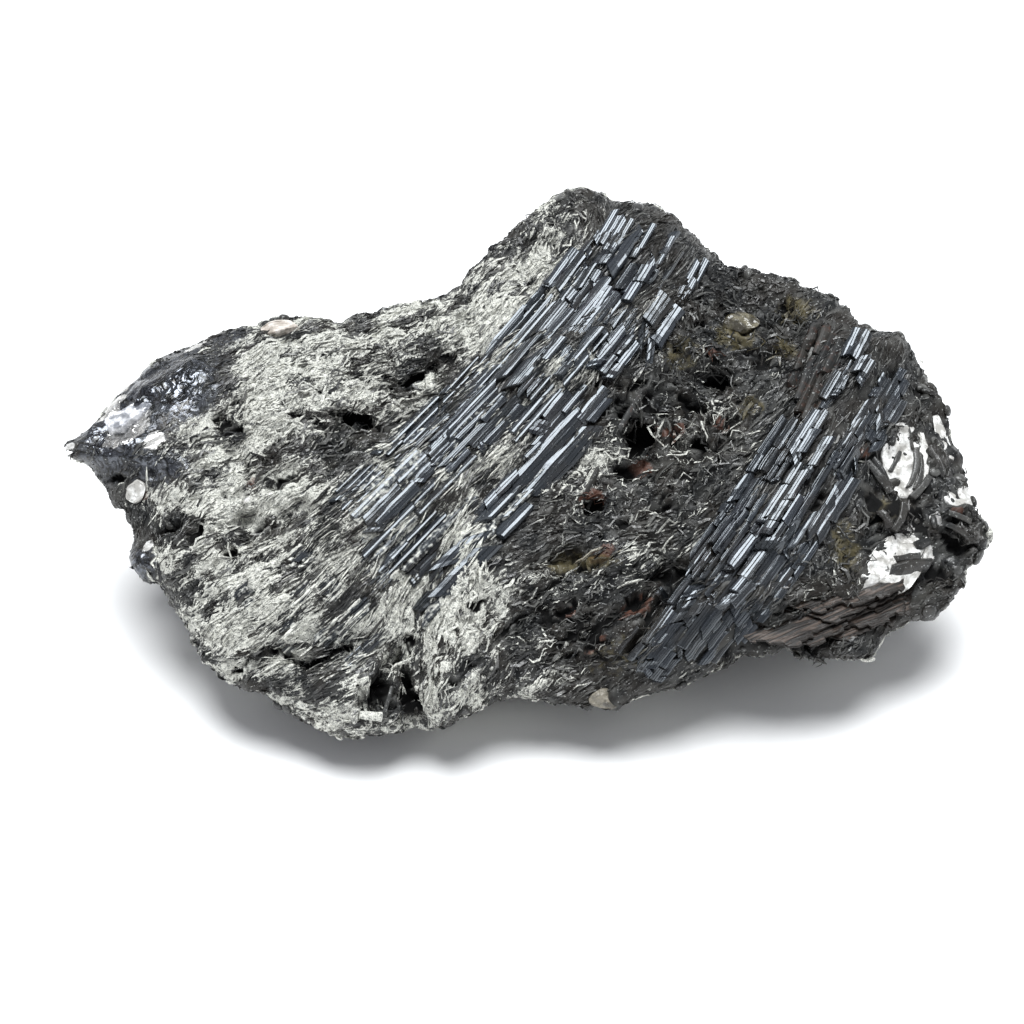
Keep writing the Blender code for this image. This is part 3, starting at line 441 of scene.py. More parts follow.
def putMesh(name, points, faceLists, attributes, smooth=False):
    # puts whole arrays into a mesh: points in millimetres, and lists of faces with the same number of corners
    mesh = bpy.data.meshes.new(name)
    points = np.asarray(points, float).reshape(-1, 3)
    points[:, 2] = np.maximum(points[:, 2], 0)  # nothing lies below the ground
    mesh.vertices.add(len(points))
    mesh.vertices.foreach_set("co", (points * mm).astype(np.float32).ravel())
    corners = np.concatenate([faces.ravel() for faces in faceLists])
    sizes = np.concatenate([np.full(len(faces), faces.shape[1]) for faces in faceLists])
    mesh.loops.add(len(corners))
    mesh.loops.foreach_set("vertex_index", corners.astype(np.int32))
    mesh.polygons.add(len(sizes))
    mesh.polygons.foreach_set("loop_start", (np.cumsum(sizes) - sizes).astype(np.int32))
    mesh.polygons.foreach_set("use_smooth", np.full(len(sizes), smooth))
    for key, values in attributes.items():
        kind, field = ("FLOAT_VECTOR", "vector") if values.ndim == 2 else ("FLOAT", "value")
        made = mesh.attributes.new(key, kind, "POINT")
        made.data.foreach_set(field, values.astype(np.float32).ravel())
    mesh.update(calc_edges=True)
    mesh.validate()
    print(name, len(mesh.vertices), "points", int((sizes - 2).sum()), "triangles")
    return putObject(name, mesh)


def finishPiece(thing, material, replaced=()):
    # gives the piece its finish and its body, and hides the solids that it stands for
    thing.data.materials.append(material)
    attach(thing, "root")
    if replaced:
        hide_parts(*replaced)


def gridFaces(rows, columns, flip=False):
    # quads between the lines of a grid of points
    first = (np.arange(rows - 1)[:, None] * columns + np.arange(columns - 1)).ravel()
    quads = np.stack([first, first + 1, first + columns + 1, first + columns], axis=1)
    return quads[:, ::-1] if flip else quads


def tubeFaces(rings, corners, flip=False):
    # quads between the rings of a closed tube, and triangles from each end ring to the point that closes it
    ring, corner = np.meshgrid(np.arange(rings - 1), np.arange(corners), indexing="ij")
    following = (corner + 1) % corners
    walls = np.stack([ring * corners + corner, ring * corners + following,
                      (ring + 1) * corners + following, (ring + 1) * corners + corner], -1).reshape(-1, 4)
    corner = np.arange(corners)
    following = (corner + 1) % corners
    start, end = np.full(corners, rings * corners), np.full(corners, rings * corners + 1)
    last = (rings - 1) * corners
    caps = np.concatenate([np.stack([start, following, corner], 1),
                           np.stack([end, last + corner, last + following], 1)])
    if flip:
        walls, caps = np.roll(walls[:, ::-1], 1, 1), np.roll(caps[:, ::-1], 1, 1)
    return walls, caps


skinLook = {
    "rim": 0.09,  # how far in the rim reaches, as a share of the stone
    "face": (2.5, 0.3),  # how steeply the face ends as its normal turns away, and its share edge on
    "fibre": 0.24, "fibreCell": 0.42, "fibreLength": 2.2,  # fine ribs, along the way the fibres lie
    "fold": 0.20, "foldCell": 1.0, "foldLength": 3.6,  # broad folds of the fibres
    "foldDustAndShade": (1.12, 1.0),  # the share of dust left on a fold's slope, and how much its crest gains: the furrows are left darker as painted shade
    "tangle": (0.15, 0.5),  # how far fibres turn where they lie straight, and how much more in a felt
    "clump": 0.30, "clumpNoises": ((1.7, 1.0), (0.8, 0.5)),  # tufts
    "gap": 0.9, "gapNoises": ((1.1, 1.0), (0.5, 0.35)), "gapFrom": 0.40,  # the holes between them
    # stepped, where crystals broke off
    "block": 0.9, "blockCell": 2.6, "blockNoises": ((1.5, 0.25),), "seam": 0.16,
    "columnSquash": 0.7, "columnJitter": 0.42,
    "cloudNoises": ((3.2, 0.5), (1.4, 0.5)), "cloudDust": (0.95, 0.9),  # the dust's unevenness
    "raggedNoises": ((0.9, 0.5), (0.45, 0.4)),  # the torn edges of cracks and holes
    "lace": 0.18, "laceNoises": ((1.5, 0.55), (0.6, 0.35)),  # the stone's edge over the grains
    # of the polished skin: height and cell, with 7 ripples to a cell
    "ripple": (0.06, 2.6, 7), "wave": (0.34, 2.2),
    # the seat of the brown leaves: depth, half width, and more of it at right
    "ledge": 1.7, "ledgeHalf": (0.9, 0.8),
    "shade": (0.25, 0.5, 0.9),  # grey on the black: its middle, its swing and the noise's cell
    "drawIn": 6, "flat": 0.12,  # how fast the foot narrows below the ground, and what is laid flat on it
}


def discGrid(cells):
    # concentric map of a square on the unit disc: radius = the larger of |column| and |row|, and the angle
    # turns with their ratio
    column, row = np.meshgrid(np.linspace(-1, 1, cells[0] + 1), np.linspace(-1, 1, cells[1] + 1))
    wide = np.abs(column) >= np.abs(row)
    with np.errstate(divide="ignore", invalid="ignore"):
        radius = np.where(wide, column, row)
        angle = np.where(wide, math.pi / 4 * row / column, math.pi / 2 - math.pi / 4 * column / row)
    angle = np.nan_to_num(angle)
    return np.abs(radius), radius * np.cos(angle), radius * np.sin(angle)


def stoneSkin():
    # two grids that share their rim: the face, with its lines spread by 0.7 ring + 0.3 sin(ring pi / 2), and
    # the back, by sin(ring pi / 2); edge = exp(-((1 - ring) / rim)^2)
    columns, rows = stone["cells"][0] + 1, stone["cells"][1] + 1
    ring, x, y = discGrid(stone["cells"])
    scale = np.where(ring > 0, 1 / np.maximum(ring, 1e-9), 0)
    frontReach = 0.7 * ring + 0.3 * np.sin(ring * math.pi / 2)
    backReach = np.sin(ring * math.pi / 2)
    face = stonePoints((x * scale * frontReach).ravel(), (y * scale * frontReach).ravel(), 1)
    rear = stonePoints((x * scale * backReach).ravel(), (y * scale * backReach).ravel(), -1)
    inside = np.zeros((rows, columns), bool)
    inside[1:-1, 1:-1] = True
    rearIndex = np.arange(rows * columns).reshape(rows, columns)
    rearIndex[inside] = rows * columns + np.arange(inside.sum())
    points = np.concatenate([face, rear[inside.ravel()]])
    edge = np.exp(-(((1 - ring) / skinLook["rim"]) ** 2)).ravel()
    edge = np.concatenate([edge, edge[inside.ravel()]])
    rearQuads = rearIndex.ravel()[gridFaces(rows, columns, flip=True)]
    return points, np.concatenate([gridFaces(rows, columns), rearQuads]), edge


def diagonalCross(points, quads):
    # the cross product of each quad's diagonals: its normal, twice as long as its area
    return np.cross(points[quads[:, 2]] - points[quads[:, 0]], points[quads[:, 3]] - points[quads[:, 1]])


def normalsOf(points, quads):
    # each point's normal = the sum of the normals of the quads round it
    crossed = diagonalCross(points, quads)
    total = np.stack([sum(np.bincount(quads[:, corner], crossed[:, axis], len(points)) for corner in range(4))
                      for axis in range(3)], 1)
    return unit(total)


def streaks(points, way, cell, length, seed):
    # streak = 1.9 times the mean of fine noise at seven places strung out along the fibre's way
    spots = np.linspace(-0.5, 0.5, 7) * length
    return sum(latticeNoise(points + way * spot, cell, seed) for spot in spots) / len(spots) * 1.9


def brokenColumns(points, cell):
    # the crystals as columns along their run: for each point the nearest column's number from 0 to 1, and
    # how far the next one is, from a jittered grid across the run
    run = board["prismRun"]
    side = unit(np.cross(run, (0.0, 0.0, 1.0)))
    flat = np.stack([points @ side, points @ np.cross(side, run) * skinLook["columnSquash"]], 1) / cell + 500
    best, second, number = np.full(len(points), 9.0), np.full(len(points), 9.0), np.zeros(len(points))
    for step in np.ndindex(3, 3):
        at = np.floor(flat) + step - 1
        spot = np.concatenate([at, np.zeros((len(at), 1))], 1)
        moved = np.stack([latticeNoise(spot, 1.0, 71), latticeNoise(spot, 1.0, 72)], 1)
        seat = at + 0.5 + skinLook["columnJitter"] * moved
        away = np.hypot(*(flat - seat).T)
        nearer = away < best
        second = np.where(nearer, best, np.minimum(second, away))
        number = np.where(nearer, 0.5 + 0.5 * latticeNoise(spot, 1.0, 73), number)
        best = np.minimum(best, away)
    return number, second - best


def raggedPlace(points):
    # x and s shifted by noise, so that what is drawn with them has a torn edge
    x, s, _ = onBoard(points)
    return [along + manyNoises(points, skinLook["raggedNoises"], seed, 2)
            for along, seed in ((x, 67), (s, 68))]


def surfaceFields(points, normals):
    # what the skin knows at each point, from 0 to 1: the patches on the face, a thin share of them behind,
    # the columns and seams of the broken back, the bands, the ledge's seat and the holes, carved and painted
    # near-black as shade
    x, s, _ = onBoard(points)
    onFace = facing(normals, *skinLook["face"])
    fields = {name: patchStrength(name, x, s) * onFace for name in patches}
    least, more = skinLook["cloudDust"]
    clouds = manyNoises(points, skinLook["cloudNoises"], 52)
    thin = (1 - fields["smooth"]) * (1 - fields["bare"])
    fields["dust"] = np.clip(fields["dust"] * (least + more * clouds) * thin, 0, 1)
    fields["grain"] = onFace * (1 - grainGuard(x, s))
    fields["behind"] = facing(normals, -2.5)
    shifted = points + manyNoises(points, skinLook["blockNoises"], 64)[:, None]
    fields["column"], gap = brokenColumns(shifted, skinLook["blockCell"])
    fields["seam"] = np.clip(1 - gap / skinLook["seam"], 0, 1)
    back = np.clip(0.1 + 0.45 * latticeNoise(points, 7, 51) + 0.5 * fields["column"], 0, 1)
    fields["dust"] = np.maximum(fields["dust"], (1 - onFace) * back)
    fields["felt"] = np.maximum(fields["felt"], (1 - onFace) * 0.35)
    fields["rods"] = bandStrength(x, s) * onFace
    ledgeHalf = skinLook["ledgeHalf"][0] + skinLook["ledgeHalf"][1] * ramp(x, 24, 5)
    fields["ledge"] = np.exp(-((lineDistance(x, s, ledgeLine) / ledgeHalf) ** 4)) * onFace
    # the gaps between tufts, the cracks and holes, and the seams behind make the hole mask: carved into the
    # skin and painted near-black as shade
    loose = ramp(manyNoises(points, skinLook["gapNoises"], 63, 3), skinLook["gapFrom"], 0.10)
    loose = loose * np.clip(fields["felt"] * 1.6 - 0.25, 0, 1)
    loose *= (1 - fields["rods"]) * (1 - fields["smooth"]) * (1 - 0.6 * fields["dust"]) * onFace
    fields["hole"] = np.maximum(loose, openDepth(*raggedPlace(points)) * onFace)
    fields["hole"] = np.maximum(fields["hole"], 0.8 * fields["seam"] * fields["behind"])
    polished = fields["behind"] * np.clip(2.2 * fields["column"] - 1.35, 0, 0.8)
    fields["smooth"] = np.maximum(fields["smooth"], polished)
    return fields


def grainGuard(x, s):
    # 0 on the grains of other minerals and 1 elsewhere: the product of 1 - exp(-square^2)
    clear = np.ones(np.shape(x))
    for centre, sizes, degrees in grainPlaces:
        clear *= 1 - np.exp(-(ellipseSquare(x, s, centre, sizes, degrees) ** 2))
    return clear


def openDepth(x, s, deep=False):
    # how open the stone is: 1 inside a crack or a hole and 0 outside, with steep sides, or its depth in
    # millimetres
    most = np.zeros(np.shape(x))
    for line, widths, depth in stone["cracks"]:
        _, marks = lineMarks(line)
        for start, end, low, high in zip(line, line[1:], marks, marks[1:]):
            away, share = stretchDistance(x, s, start, end)
            wide = widths[0] + (widths[1] - widths[0]) * (low + (high - low) * share)
            inside = np.clip((wide - away) / 0.3 + 0.5, 0, 1)
            most = np.maximum(most, inside * (depth if deep else 1))
    for centre, sizes, degrees, depth in stone["holes"]:
        inside = np.clip(1.6 - 1.1 * ellipseSquare(x, s, centre, sizes, degrees), 0, 1)
        most = np.maximum(most, inside * (depth if deep else 1))
    return most


def bandStrength(x, s):
    # 1 in the bands of long crystals, fading at their sides
    strength = np.zeros(np.shape(x))
    for band in bands.values():
        spread = lineDistance(x, s, band["line"]) / (0.5 * np.mean(band["widths"]))
        strength = np.maximum(strength, np.clip((1.15 - spread) / 0.3, 0, 1) * band["strength"])
    return strength


def skinRelief(points, normals, way, fields):
    # relief = ribs along the fibres + tufts + folds - holes, less on rods and smooth skin, with stepped
    # blocks behind, a torn edge over the grains, the ledge's seat, and ripples on the polished skin
    ribs = streaks(points, way, skinLook["fibreCell"], skinLook["fibreLength"], 60)
    tufts = manyNoises(points, skinLook["clumpNoises"], 61)
    opened = openDepth(*raggedPlace(points), True) * facing(normals, *skinLook["face"])
    calm = (1 - 0.88 * fields["smooth"]) * (1 - 0.6 * fields["rods"])
    relief = skinLook["fibre"] * ribs + skinLook["clump"] * tufts * (0.4 + fields["felt"])
    relief = (relief + skinLook["fold"] * fields["fold"]) * calm
    relief = relief * (1 - 0.8 * fields["hole"]) - np.maximum(skinLook["gap"] * fields["hole"], opened)
    relief += skinLook["block"] * fields["behind"] * (2 * fields["column"] - 1.2 - 0.7 * fields["seam"])
    (height, cell, turns), (waveHeight, waveCell) = skinLook["ripple"], skinLook["wave"]
    ripple = height * np.sin(latticeNoise(points, cell, 65) * turns)
    ripple += waveHeight * latticeNoise(points, waveCell, 94)
    lace = skinLook["lace"] - 0.6 * fields["grain"] + manyNoises(points, skinLook["laceNoises"], 69)
    near = np.clip(4 * fields["grain"], 0, 1)
    relief = relief * (1 - near) + lace * near
    return relief * (1 - fields["ledge"]) - skinLook["ledge"] * fields["ledge"] + ripple * fields["smooth"]


skinPoints, skinQuads, skinEdge = stoneSkin()
skinNormals = normalsOf(skinPoints, skinQuads)
fields = surfaceFields(skinPoints, skinNormals)
fields["edge"] = skinEdge
tangle = skinLook["tangle"][0] + skinLook["tangle"][1] * fields["felt"] * (1 - fields["rods"])
skinWay = fibreWay(skinPoints, skinNormals, tangle)
# the fibres lie in folds: less dust in the furrows between them, darkening them as painted shade, and where
# the layers part they are open, painted near-black as shade
fields["fold"] = streaks(skinPoints, skinWay, skinLook["foldCell"], skinLook["foldLength"], 76)
foldDustAndShade = skinLook["foldDustAndShade"][0] + skinLook["foldDustAndShade"][1] * fields["fold"]
fields["dust"] = np.clip(fields["dust"] * foldDustAndShade, 0, 1)
fields["hole"] = np.maximum(fields["hole"], fields["layers"] * ramp(-fields["fold"], 0.30, 0.15))

skinPoints = skinPoints + skinRelief(skinPoints, skinNormals, skinWay, fields)[:, None] * skinNormals
# what lies below the ground is drawn in under the stone and laid flat: across by exp(depth / 6), and up to
# the ground
footing = skinPoints[np.abs(skinPoints[:, 2]) < 1, :2].mean(0)
narrowed = np.exp(np.minimum(skinPoints[:, 2:], 0) / skinLook["drawIn"])
skinPoints[:, :2] = footing + (skinPoints[:, :2] - footing) * narrowed
skinPoints[:, 2] = np.where(skinPoints[:, 2] < skinLook["flat"], 0, skinPoints[:, 2])
print("skin shaped")


class Value:
    # wraps a socket, so that an expression on values adds its Math nodes
    def __init__(self, nodes, socket):
        self.nodes, self.socket = nodes, socket

    def maths(self, operation, *others):
        return self.nodes.node("ShaderNodeMath", {"operation": operation}, dict(enumerate((self, *others))))

    def __add__(self, other):
        return self.maths("ADD", other)

    def __mul__(self, other):
        return self.maths("MULTIPLY", other)

    def __sub__(self, other):
        return self.maths("SUBTRACT", other)

    def __rsub__(self, other):
        return self.nodes.node("ShaderNodeMath", {"operation": "SUBTRACT"}, {0: other, 1: self})

    __radd__ = __add__
    __rmul__ = __mul__

    def between(self, low, high):
        # 0 below low, 1 above high, and a smooth step from one to the other
        return self.nodes.node("ShaderNodeMapRange", {"interpolation_type": "SMOOTHSTEP"},
                               {"Value": self, "From Min": low, "From Max": high})


class Nodes:
    # adds nodes to one tree, each with its settings, and numbers or links on its sockets
    def __init__(self, tree):
        self.tree = tree

    def node(self, kind, settings, inputs, output=0):
        made = self.tree.nodes.new(kind)
        for key, value in settings.items():
            setattr(made, key, value)
        for key, value in inputs.items():
            if isinstance(value, Value):
                self.tree.links.new(value.socket, made.inputs[key])
            else:
                made.inputs[key].default_value = value
        return Value(self, made.outputs[output])

    def mix(self, share, first, second):
        return self.node("ShaderNodeMix", {"data_type": "RGBA"}, {0: share, 6: first, 7: second}, 2)

    def blend(self, share, first, second):
        return self.node("ShaderNodeMix", {"data_type": "FLOAT"}, {0: share, 2: first, 3: second})

    def feed(self, shader, key, value):
        self.tree.links.new(value.socket, self.tree.nodes[shader].inputs[key])


class Look(Nodes):
    # one material: a Principled shader with fixed values, and the nodes that feed it
    def __init__(self, name, **fixed):
        self.material = bpy.data.materials.new(name)
        self.material.use_nodes = True
        super().__init__(self.material.node_tree)
        for key, value in fixed.items():
            self.tree.nodes["Principled BSDF"].inputs[key.replace("_", " ")].default_value = value
        self.place = self.node("ShaderNodeTexCoord", {}, {}, "Object")

    def noise(self, size, detail=2.0, warp=0.0):
        # noise whose grains are about size millimetres
        return self.node("ShaderNodeTexNoise", {}, {"Vector": self.place, "Scale": 1 / (size * mm),
                                                   "Detail": detail, "Distortion": warp})

    def cells(self, size, feature="F1"):
        return self.node("ShaderNodeTexVoronoi", {"feature": feature},
                         {"Vector": self.place, "Scale": 1 / (size * mm)})

    def attribute(self, name, output="Fac"):
        return self.node("ShaderNodeAttribute", {"attribute_name": name}, {}, output)

    def streak(self, fine, long, detail=2.0):
        # noise drawn out along the piece's own grain: its grains are fine and long millimetres
        squeezed = self.node("ShaderNodeVectorMath", {"operation": "MULTIPLY"},
                             {0: self.attribute("grain", "Vector"), 1: (mm / fine, mm / fine, mm / long)})
        return self.node("ShaderNodeTexNoise", {}, {"Vector": squeezed, "Scale": 1 / mm, "Detail": detail})

    def finish(self, colour, roughness, bumps):
        # bumps are rows of height value and depth in millimetres, one Bump node on another
        inputs = {}
        for height, depth in bumps:
            inputs.update({"Height": height, "Distance": depth * mm, "Strength": 1.0})
            inputs["Normal"] = self.node("ShaderNodeBump", {}, inputs)
        for key, value in (("Base Color", colour), ("Roughness", roughness), ("Normal", inputs["Normal"])):
            self.feed("Principled BSDF", key, value)
        return self.material


def rgb(red, green, blue):
    return (red, green, blue, 1.0)


schorlColours = {
    "black": rgb(0.0064, 0.0072, 0.008), "brownBlack": rgb(0.017, 0.0145, 0.012),
    "steel": rgb(0.024, 0.028, 0.035), "grey": rgb(0.100, 0.100, 0.094),
    "lead": rgb(0.125, 0.133, 0.150), "open": rgb(0.003, 0.003, 0.003),
    "milkAndGlare": rgb(0.80, 0.80, 0.79), "milkDeepAndGlare": rgb(0.53, 0.52, 0.50), "paintedSparkle": rgb(0.45, 0.46, 0.45),
    "dust": rgb(0.70, 0.70, 0.64), "dustDeep": rgb(0.168, 0.172, 0.160),
    "rust": rgb(0.105, 0.040, 0.024), "olive": rgb(0.135, 0.112, 0.050),
}
stainStrength = {"rust": 0.65, "olive": 0.55}
# The cells of the noises in millimetres, from and to for each smooth edge, and the depths of the bumps.
schorlCells = {"mottle": 0.45, "broad": 4.0, "fine": 0.12, "stripe": (0.30, 2.4), "curls": 0.75, "paintedSparkle": 0.2,
               "stain": 0.8, "flames": 1.3, "dimples": 1.6, "ribs": (0.17, 7.0), "pits": (0.9, 0.9)}
schorlEdges = {"threads": (0.012, 0.045), "coat": (0.36, 0.58), "body": (0.42, 0.62), "powder": (0.38, 0.60),
               "paintedSparkle": (0.74, 0.80), "stain": (0.38, 0.72), "flames": (0.40, 0.60), "crustAndGlare": (0.52, 0.64),
               "milkAndGlare": (0.3, 0.6), "hole": (0.25, 0.75)}
schorlBumps = {"fine": 0.012, "mottle": 0.04, "threads": 0.03, "dimples": 0.20, "ribs": 0.040, "pits": 0.012}
schorlFinishes = {
    "schorl_skin": {"roughness": 0.42, "dusty": 0.9, "sheen": 0.16},
    "schorl_fibre": {"roughness": 0.32, "dusty": 1.0, "sheen": 0.36},
    "schorl_brown": {"roughness": 0.5, "dusty": 0.65, "sheen": 0.18, "striated": True},
    "schorl_rods": {"roughness": 0.24, "dusty": 0.70, "sheen": 0.42, "striated": True, "steel": True,
                    "ior": 1.9, "tint": (0.86, 0.93, 1.0)},
}


def schorlLook(name, roughness, dusty, sheen, ior=1.65, striated=False, steel=False, tint=(1.0, 1.0, 1.0)):
    # black to brown crystal with pale dust where the dust attribute and a fine mottle say so, and stains;
    # thin curling threads lie where a noise passes its middle value
    look = Look(name, IOR=ior, Specular_IOR_Level=sheen, Specular_Tint=rgb(*tint))
    size, edge, deep = schorlCells, schorlEdges, schorlBumps
    mottle, broad = look.noise(size["mottle"], 3.0), look.noise(size["broad"], 2.0)
    fine = look.streak(*size["stripe"]) if striated else look.noise(size["fine"], 2.0)
    curls = look.noise(size["curls"], 1.0, warp=1.4) - 0.5
    threads = 1 - curls.maths("ABSOLUTE").between(*edge["threads"])
    coat = look.attribute("dust") * dusty + (mottle - 0.5) * 0.6 + (fine - 0.5) * 0.45
    if not steel:
        coat = coat + threads * 0.10
    coat = coat.between(*edge["coat"])
    body = look.mix(broad.between(*edge["body"]), schorlColours["black"], schorlColours["brownBlack"])
    body = look.mix(look.attribute("shade") * 0.8, body, schorlColours["steel" if steel else "grey"])
    powder = (fine * 0.6 + mottle * 0.4 + threads * 0.12).between(*edge["powder"])
    powder = look.mix(powder, schorlColours["dustDeep"], schorlColours["dust"])
    colour = look.mix(coat, body, powder)
    # pale specks painted in as tiny sparkling highlights, faint on the rods: painted highlight
    paintedSparkles = look.noise(size["paintedSparkle"], 0.0).between(*edge["paintedSparkle"])
    colour = look.mix(paintedSparkles * (0.1 if steel else 0.6), colour, schorlColours["paintedSparkle"])
    stain = look.noise(size["stain"], 3.0)
    for key, strength in stainStrength.items():
        amount = (look.attribute(key) * 1.3 + (stain - 0.5) * 0.9).between(*edge["stain"])
        colour = look.mix(amount * strength, colour, schorlColours[key])
    rough = look.blend(coat, look.blend(mottle, roughness * 0.75, roughness * 1.3), 0.85)
    bumps = [(fine, deep["fine"]), (mottle, deep["mottle"]), (threads, deep["threads"])]
    if striated:
        bumps = [(look.streak(*size[key]), deep[key]) for key in ("ribs", "pits")]
    if name == "schorl_skin":  # also polished skin, milky crusts that on the beak are painted mirror reflections, and holes painted near-black as painted shade
        polished = look.attribute("smooth")
        flames = look.noise(size["flames"], 2.0, warp=2.5).between(*edge["flames"])
        colour = look.mix(polished * (0.12 + 0.88 * flames), colour, schorlColours["lead"])
        look.feed("Principled BSDF", "Metallic", polished * 0.95)
        rough = look.blend(polished, rough, 0.16)
        bumps = [(height * (1 - polished * 0.85), depth) for height, depth in bumps]
        bumps.insert(0, (look.noise(size["dimples"], 1.0, warp=2.0) * polished, deep["dimples"]))
        # milky crusts, and on the polished beak pale patches painted as mirror reflections
        crustAndGlare = look.attribute("whiteCrustAndGlare") * 1.25 + (stain - 0.5) * 0.9 + (mottle - 0.5) * 0.2
        crustAndGlare = crustAndGlare.between(*edge["crustAndGlare"])
        milkAndGlare = look.mix(mottle.between(*edge["milkAndGlare"]), schorlColours["milkAndGlare"], schorlColours["milkDeepAndGlare"])
        # holes, gaps between tufts and seams behind painted near-black: painted shade
        opened = look.attribute("hole").between(*edge["hole"])
        colour = look.mix(opened, look.mix(crustAndGlare, colour, milkAndGlare), schorlColours["open"])
        rough = look.blend(opened, look.blend(crustAndGlare, rough, 0.2), 0.9)
    return look.finish(colour, rough, bumps)


schorl = {name: schorlLook(name, **row) for name, row in schorlFinishes.items()}

middle, swing, cell = skinLook["shade"]
fields["shade"] = np.clip(middle + swing * latticeNoise(skinPoints, cell, 54), 0, 1)
painted = {key: fields[key] for key in ("dust", "rust", "olive", "smooth", "shade", "hole", "whiteCrustAndGlare")}
skin = putMesh("schorl_skin", skinPoints, [skinQuads], painted, True)
finishPiece(skin, schorl["schorl_skin"], ["schorl_mass"])


def strandMesh(name, strands, stations, fullness, profile):
    # point(t, y, z) = middle + run * length * (t - 1/2) + side * bend * (1 - (2t - 1)^2)
    #                  + side * wave * sin(2 pi t) - top * dip * (2t - 1)^2
    #                  + side * width/2 * full(t) * y + top * height/2 * full(t) * z
    # with a point at each end; t is a station, y and z run round the profile, full(t) is the fullness there
    # times the strand's wobble; below the middle the height is the strand's root, if any; skew slants ends
    place, full, (wideways, highways) = np.array(stations), np.array(fullness), np.array(profile, float).T
    run, count = strands["run"], len(strands["run"])
    absent = ("bend", "wave", "dip", "tip", "rust", "olive", "skew")
    strands = dict.fromkeys(absent, np.zeros(count)) | strands
    top = unit(flatten(strands["top"], run))
    side = np.cross(top, run)
    bow, wave = 1 - (2 * place - 1) ** 2, np.sin(turn * place)
    spine = (strands["middle"][:, None]
             + run[:, None] * (strands["length"][:, None] * (place - 0.5))[..., None]
             + side[:, None] * (strands["bend"][:, None] * bow + strands["wave"][:, None] * wave)[..., None]
             + top[:, None] * (strands["dip"][:, None] * (bow - 1))[..., None])
    full = (full * strands.get("wobble", 1.0))[..., None] * np.ones((count, 1, 1))
    wide = (strands["width"] / 2)[:, None, None] * full * wideways
    high = (strands["height"] / 2)[:, None, None] * full * np.maximum(highways, 0)
    high = high + strands.get("root", strands["height"] / 2)[:, None, None] * np.minimum(highways, 0)
    slant = (wide * strands["skew"][:, None, None])[..., None]
    rings = spine[:, :, None] + side[:, None, None] * wide[..., None] + top[:, None, None] * high[..., None]
    rings = (rings + run[:, None, None] * slant).reshape(count, -1, 3)
    sunk = top * (0.6 * strands["dip"])[:, None] * (strands["tip"] > 0)[:, None]
    reach = run * strands["tip"][:, None]
    tips = np.stack([spine[:, 0] - reach - sunk, spine[:, -1] + reach - sunk], 1)
    points = np.concatenate([rings, tips], axis=1)
    each = points.shape[1]
    faceLists = [(faces + (np.arange(count) * each)[:, None, None]).reshape(-1, faces.shape[1])
                 for faces in tubeFaces(len(place), len(wideways))]
    along = (strands["length"][:, None] * place)[:, :, None]
    grain = np.stack(np.broadcast_arrays(wide, high, along), -1).reshape(count, -1, 3)
    grain = np.concatenate([grain, np.zeros((count, 2, 3))], axis=1) + strands["offset"][:, None]
    attributes = {key: np.repeat(strands[key], each) for key in ("dust", "rust", "olive", "shade")}
    return putMesh(name, points, faceLists, {**attributes, "grain": grain.reshape(-1, 3)})


def scatter(count, density, seed):
    # places on the skin, drawn in proportion to face area times density, with what the skin knows there
    random = np.random.default_rng(seed)
    area = np.linalg.norm(diagonalCross(skinPoints, skinQuads), axis=1) / 2
    sums = np.cumsum(area * density[skinQuads].mean(1))
    pick = np.searchsorted(sums, random.random(count) * sums[-1])
    first, second = random.random((2, count))
    shares = [(1 - first) * (1 - second), first * (1 - second), first * second, (1 - first) * second]
    shares = np.stack(shares, 1)
    at = skinQuads[pick]
    normal = unit((fineNormals[at] * shares[..., None]).sum(1))
    place = (skinPoints[at] * shares[..., None]).sum(1)
    known = {key: (values[at] * shares).sum(1) for key, values in fields.items()}
    return place, normal, known, random


fineNormals = normalsOf(skinPoints, skinQuads)
skinX, skinS, _ = onBoard(skinPoints)
frontShare = facing(skinNormals, 4, 0.6)


def pitGuard(x, s):
    # 0 inside the pits and on the grains of other minerals, 1 elsewhere
    clear = grainGuard(x, s)
    for centre, sizes, degrees, height in stone["lumps"]:
        if height <= -1.5 and sizes[0] < 3:
            clear *= 1 - 0.7 * np.exp(-(ellipseSquare(x, s, centre, sizes, degrees) * 1.3) ** 2)
    return clear * (1 - np.clip(1.3 * patchStrength("whiteCrustAndGlare", x, s), 0, 1))


# Each felt's count of strands, their length and width from least to most, how far they curl and stand off,
# and the tone below which a strand sheds its dust.
felts = {
    "felt_left_low": {"count": 7300, "length": (1.0, 4.4), "width": (0.16, 0.50), "curl": 0.20, "lift": 0.04,
                      "clean": 0.78, "seed": 11},
    "felt_left_top": {"count": 7300, "length": (0.9, 3.4), "width": (0.14, 0.46), "curl": 0.24, "lift": 0.05,
                      "clean": 0.78, "seed": 14},
    "felt_right": {"count": 7500, "length": (0.9, 4.2), "width": (0.14, 0.50), "curl": 0.5, "lift": 0.14,
                   "clean": 0.66, "seed": 12},
    "felt_back": {"count": 9500, "length": (1.2, 4.2), "width": (0.22, 0.6), "curl": 0.10, "lift": 0.02,
                  "clean": 0.78, "seed": 13},
    "felt_bands": {"count": 10500, "length": (1.2, 6.5), "width": (0.10, 0.28), "curl": 0.0, "lift": 0.24,
                   "clean": 0.74, "seed": 15},
}
feltShape = {
    "spread": (0.10, 0.7), "bend": (0.06, 0.42), "wave": (0.02, 0.34),  # at no curl, and more at full curl
    "dip": (0.02, 0.12), "tip": 0.14, "body": 0.72,  # shares of the length: the sag, each point, the rest
    "profile": ((0.94, 0.34), (-0.94, 0.34), (0.0, -1.0)), "thick": (0.6, 1.0),
    "long": 2.2, "wide": 2,  # powers of the random draws: the higher, the rarer long and wide strands are
    "rise": 0.05, "roll": 0.6, "stand": (-0.8, 1.7), "calm": 0.10, "clear": 0.05,
    "stained": {"rust": 0.6, "olive": 0.7},  # the share of the strands that take each stain
}


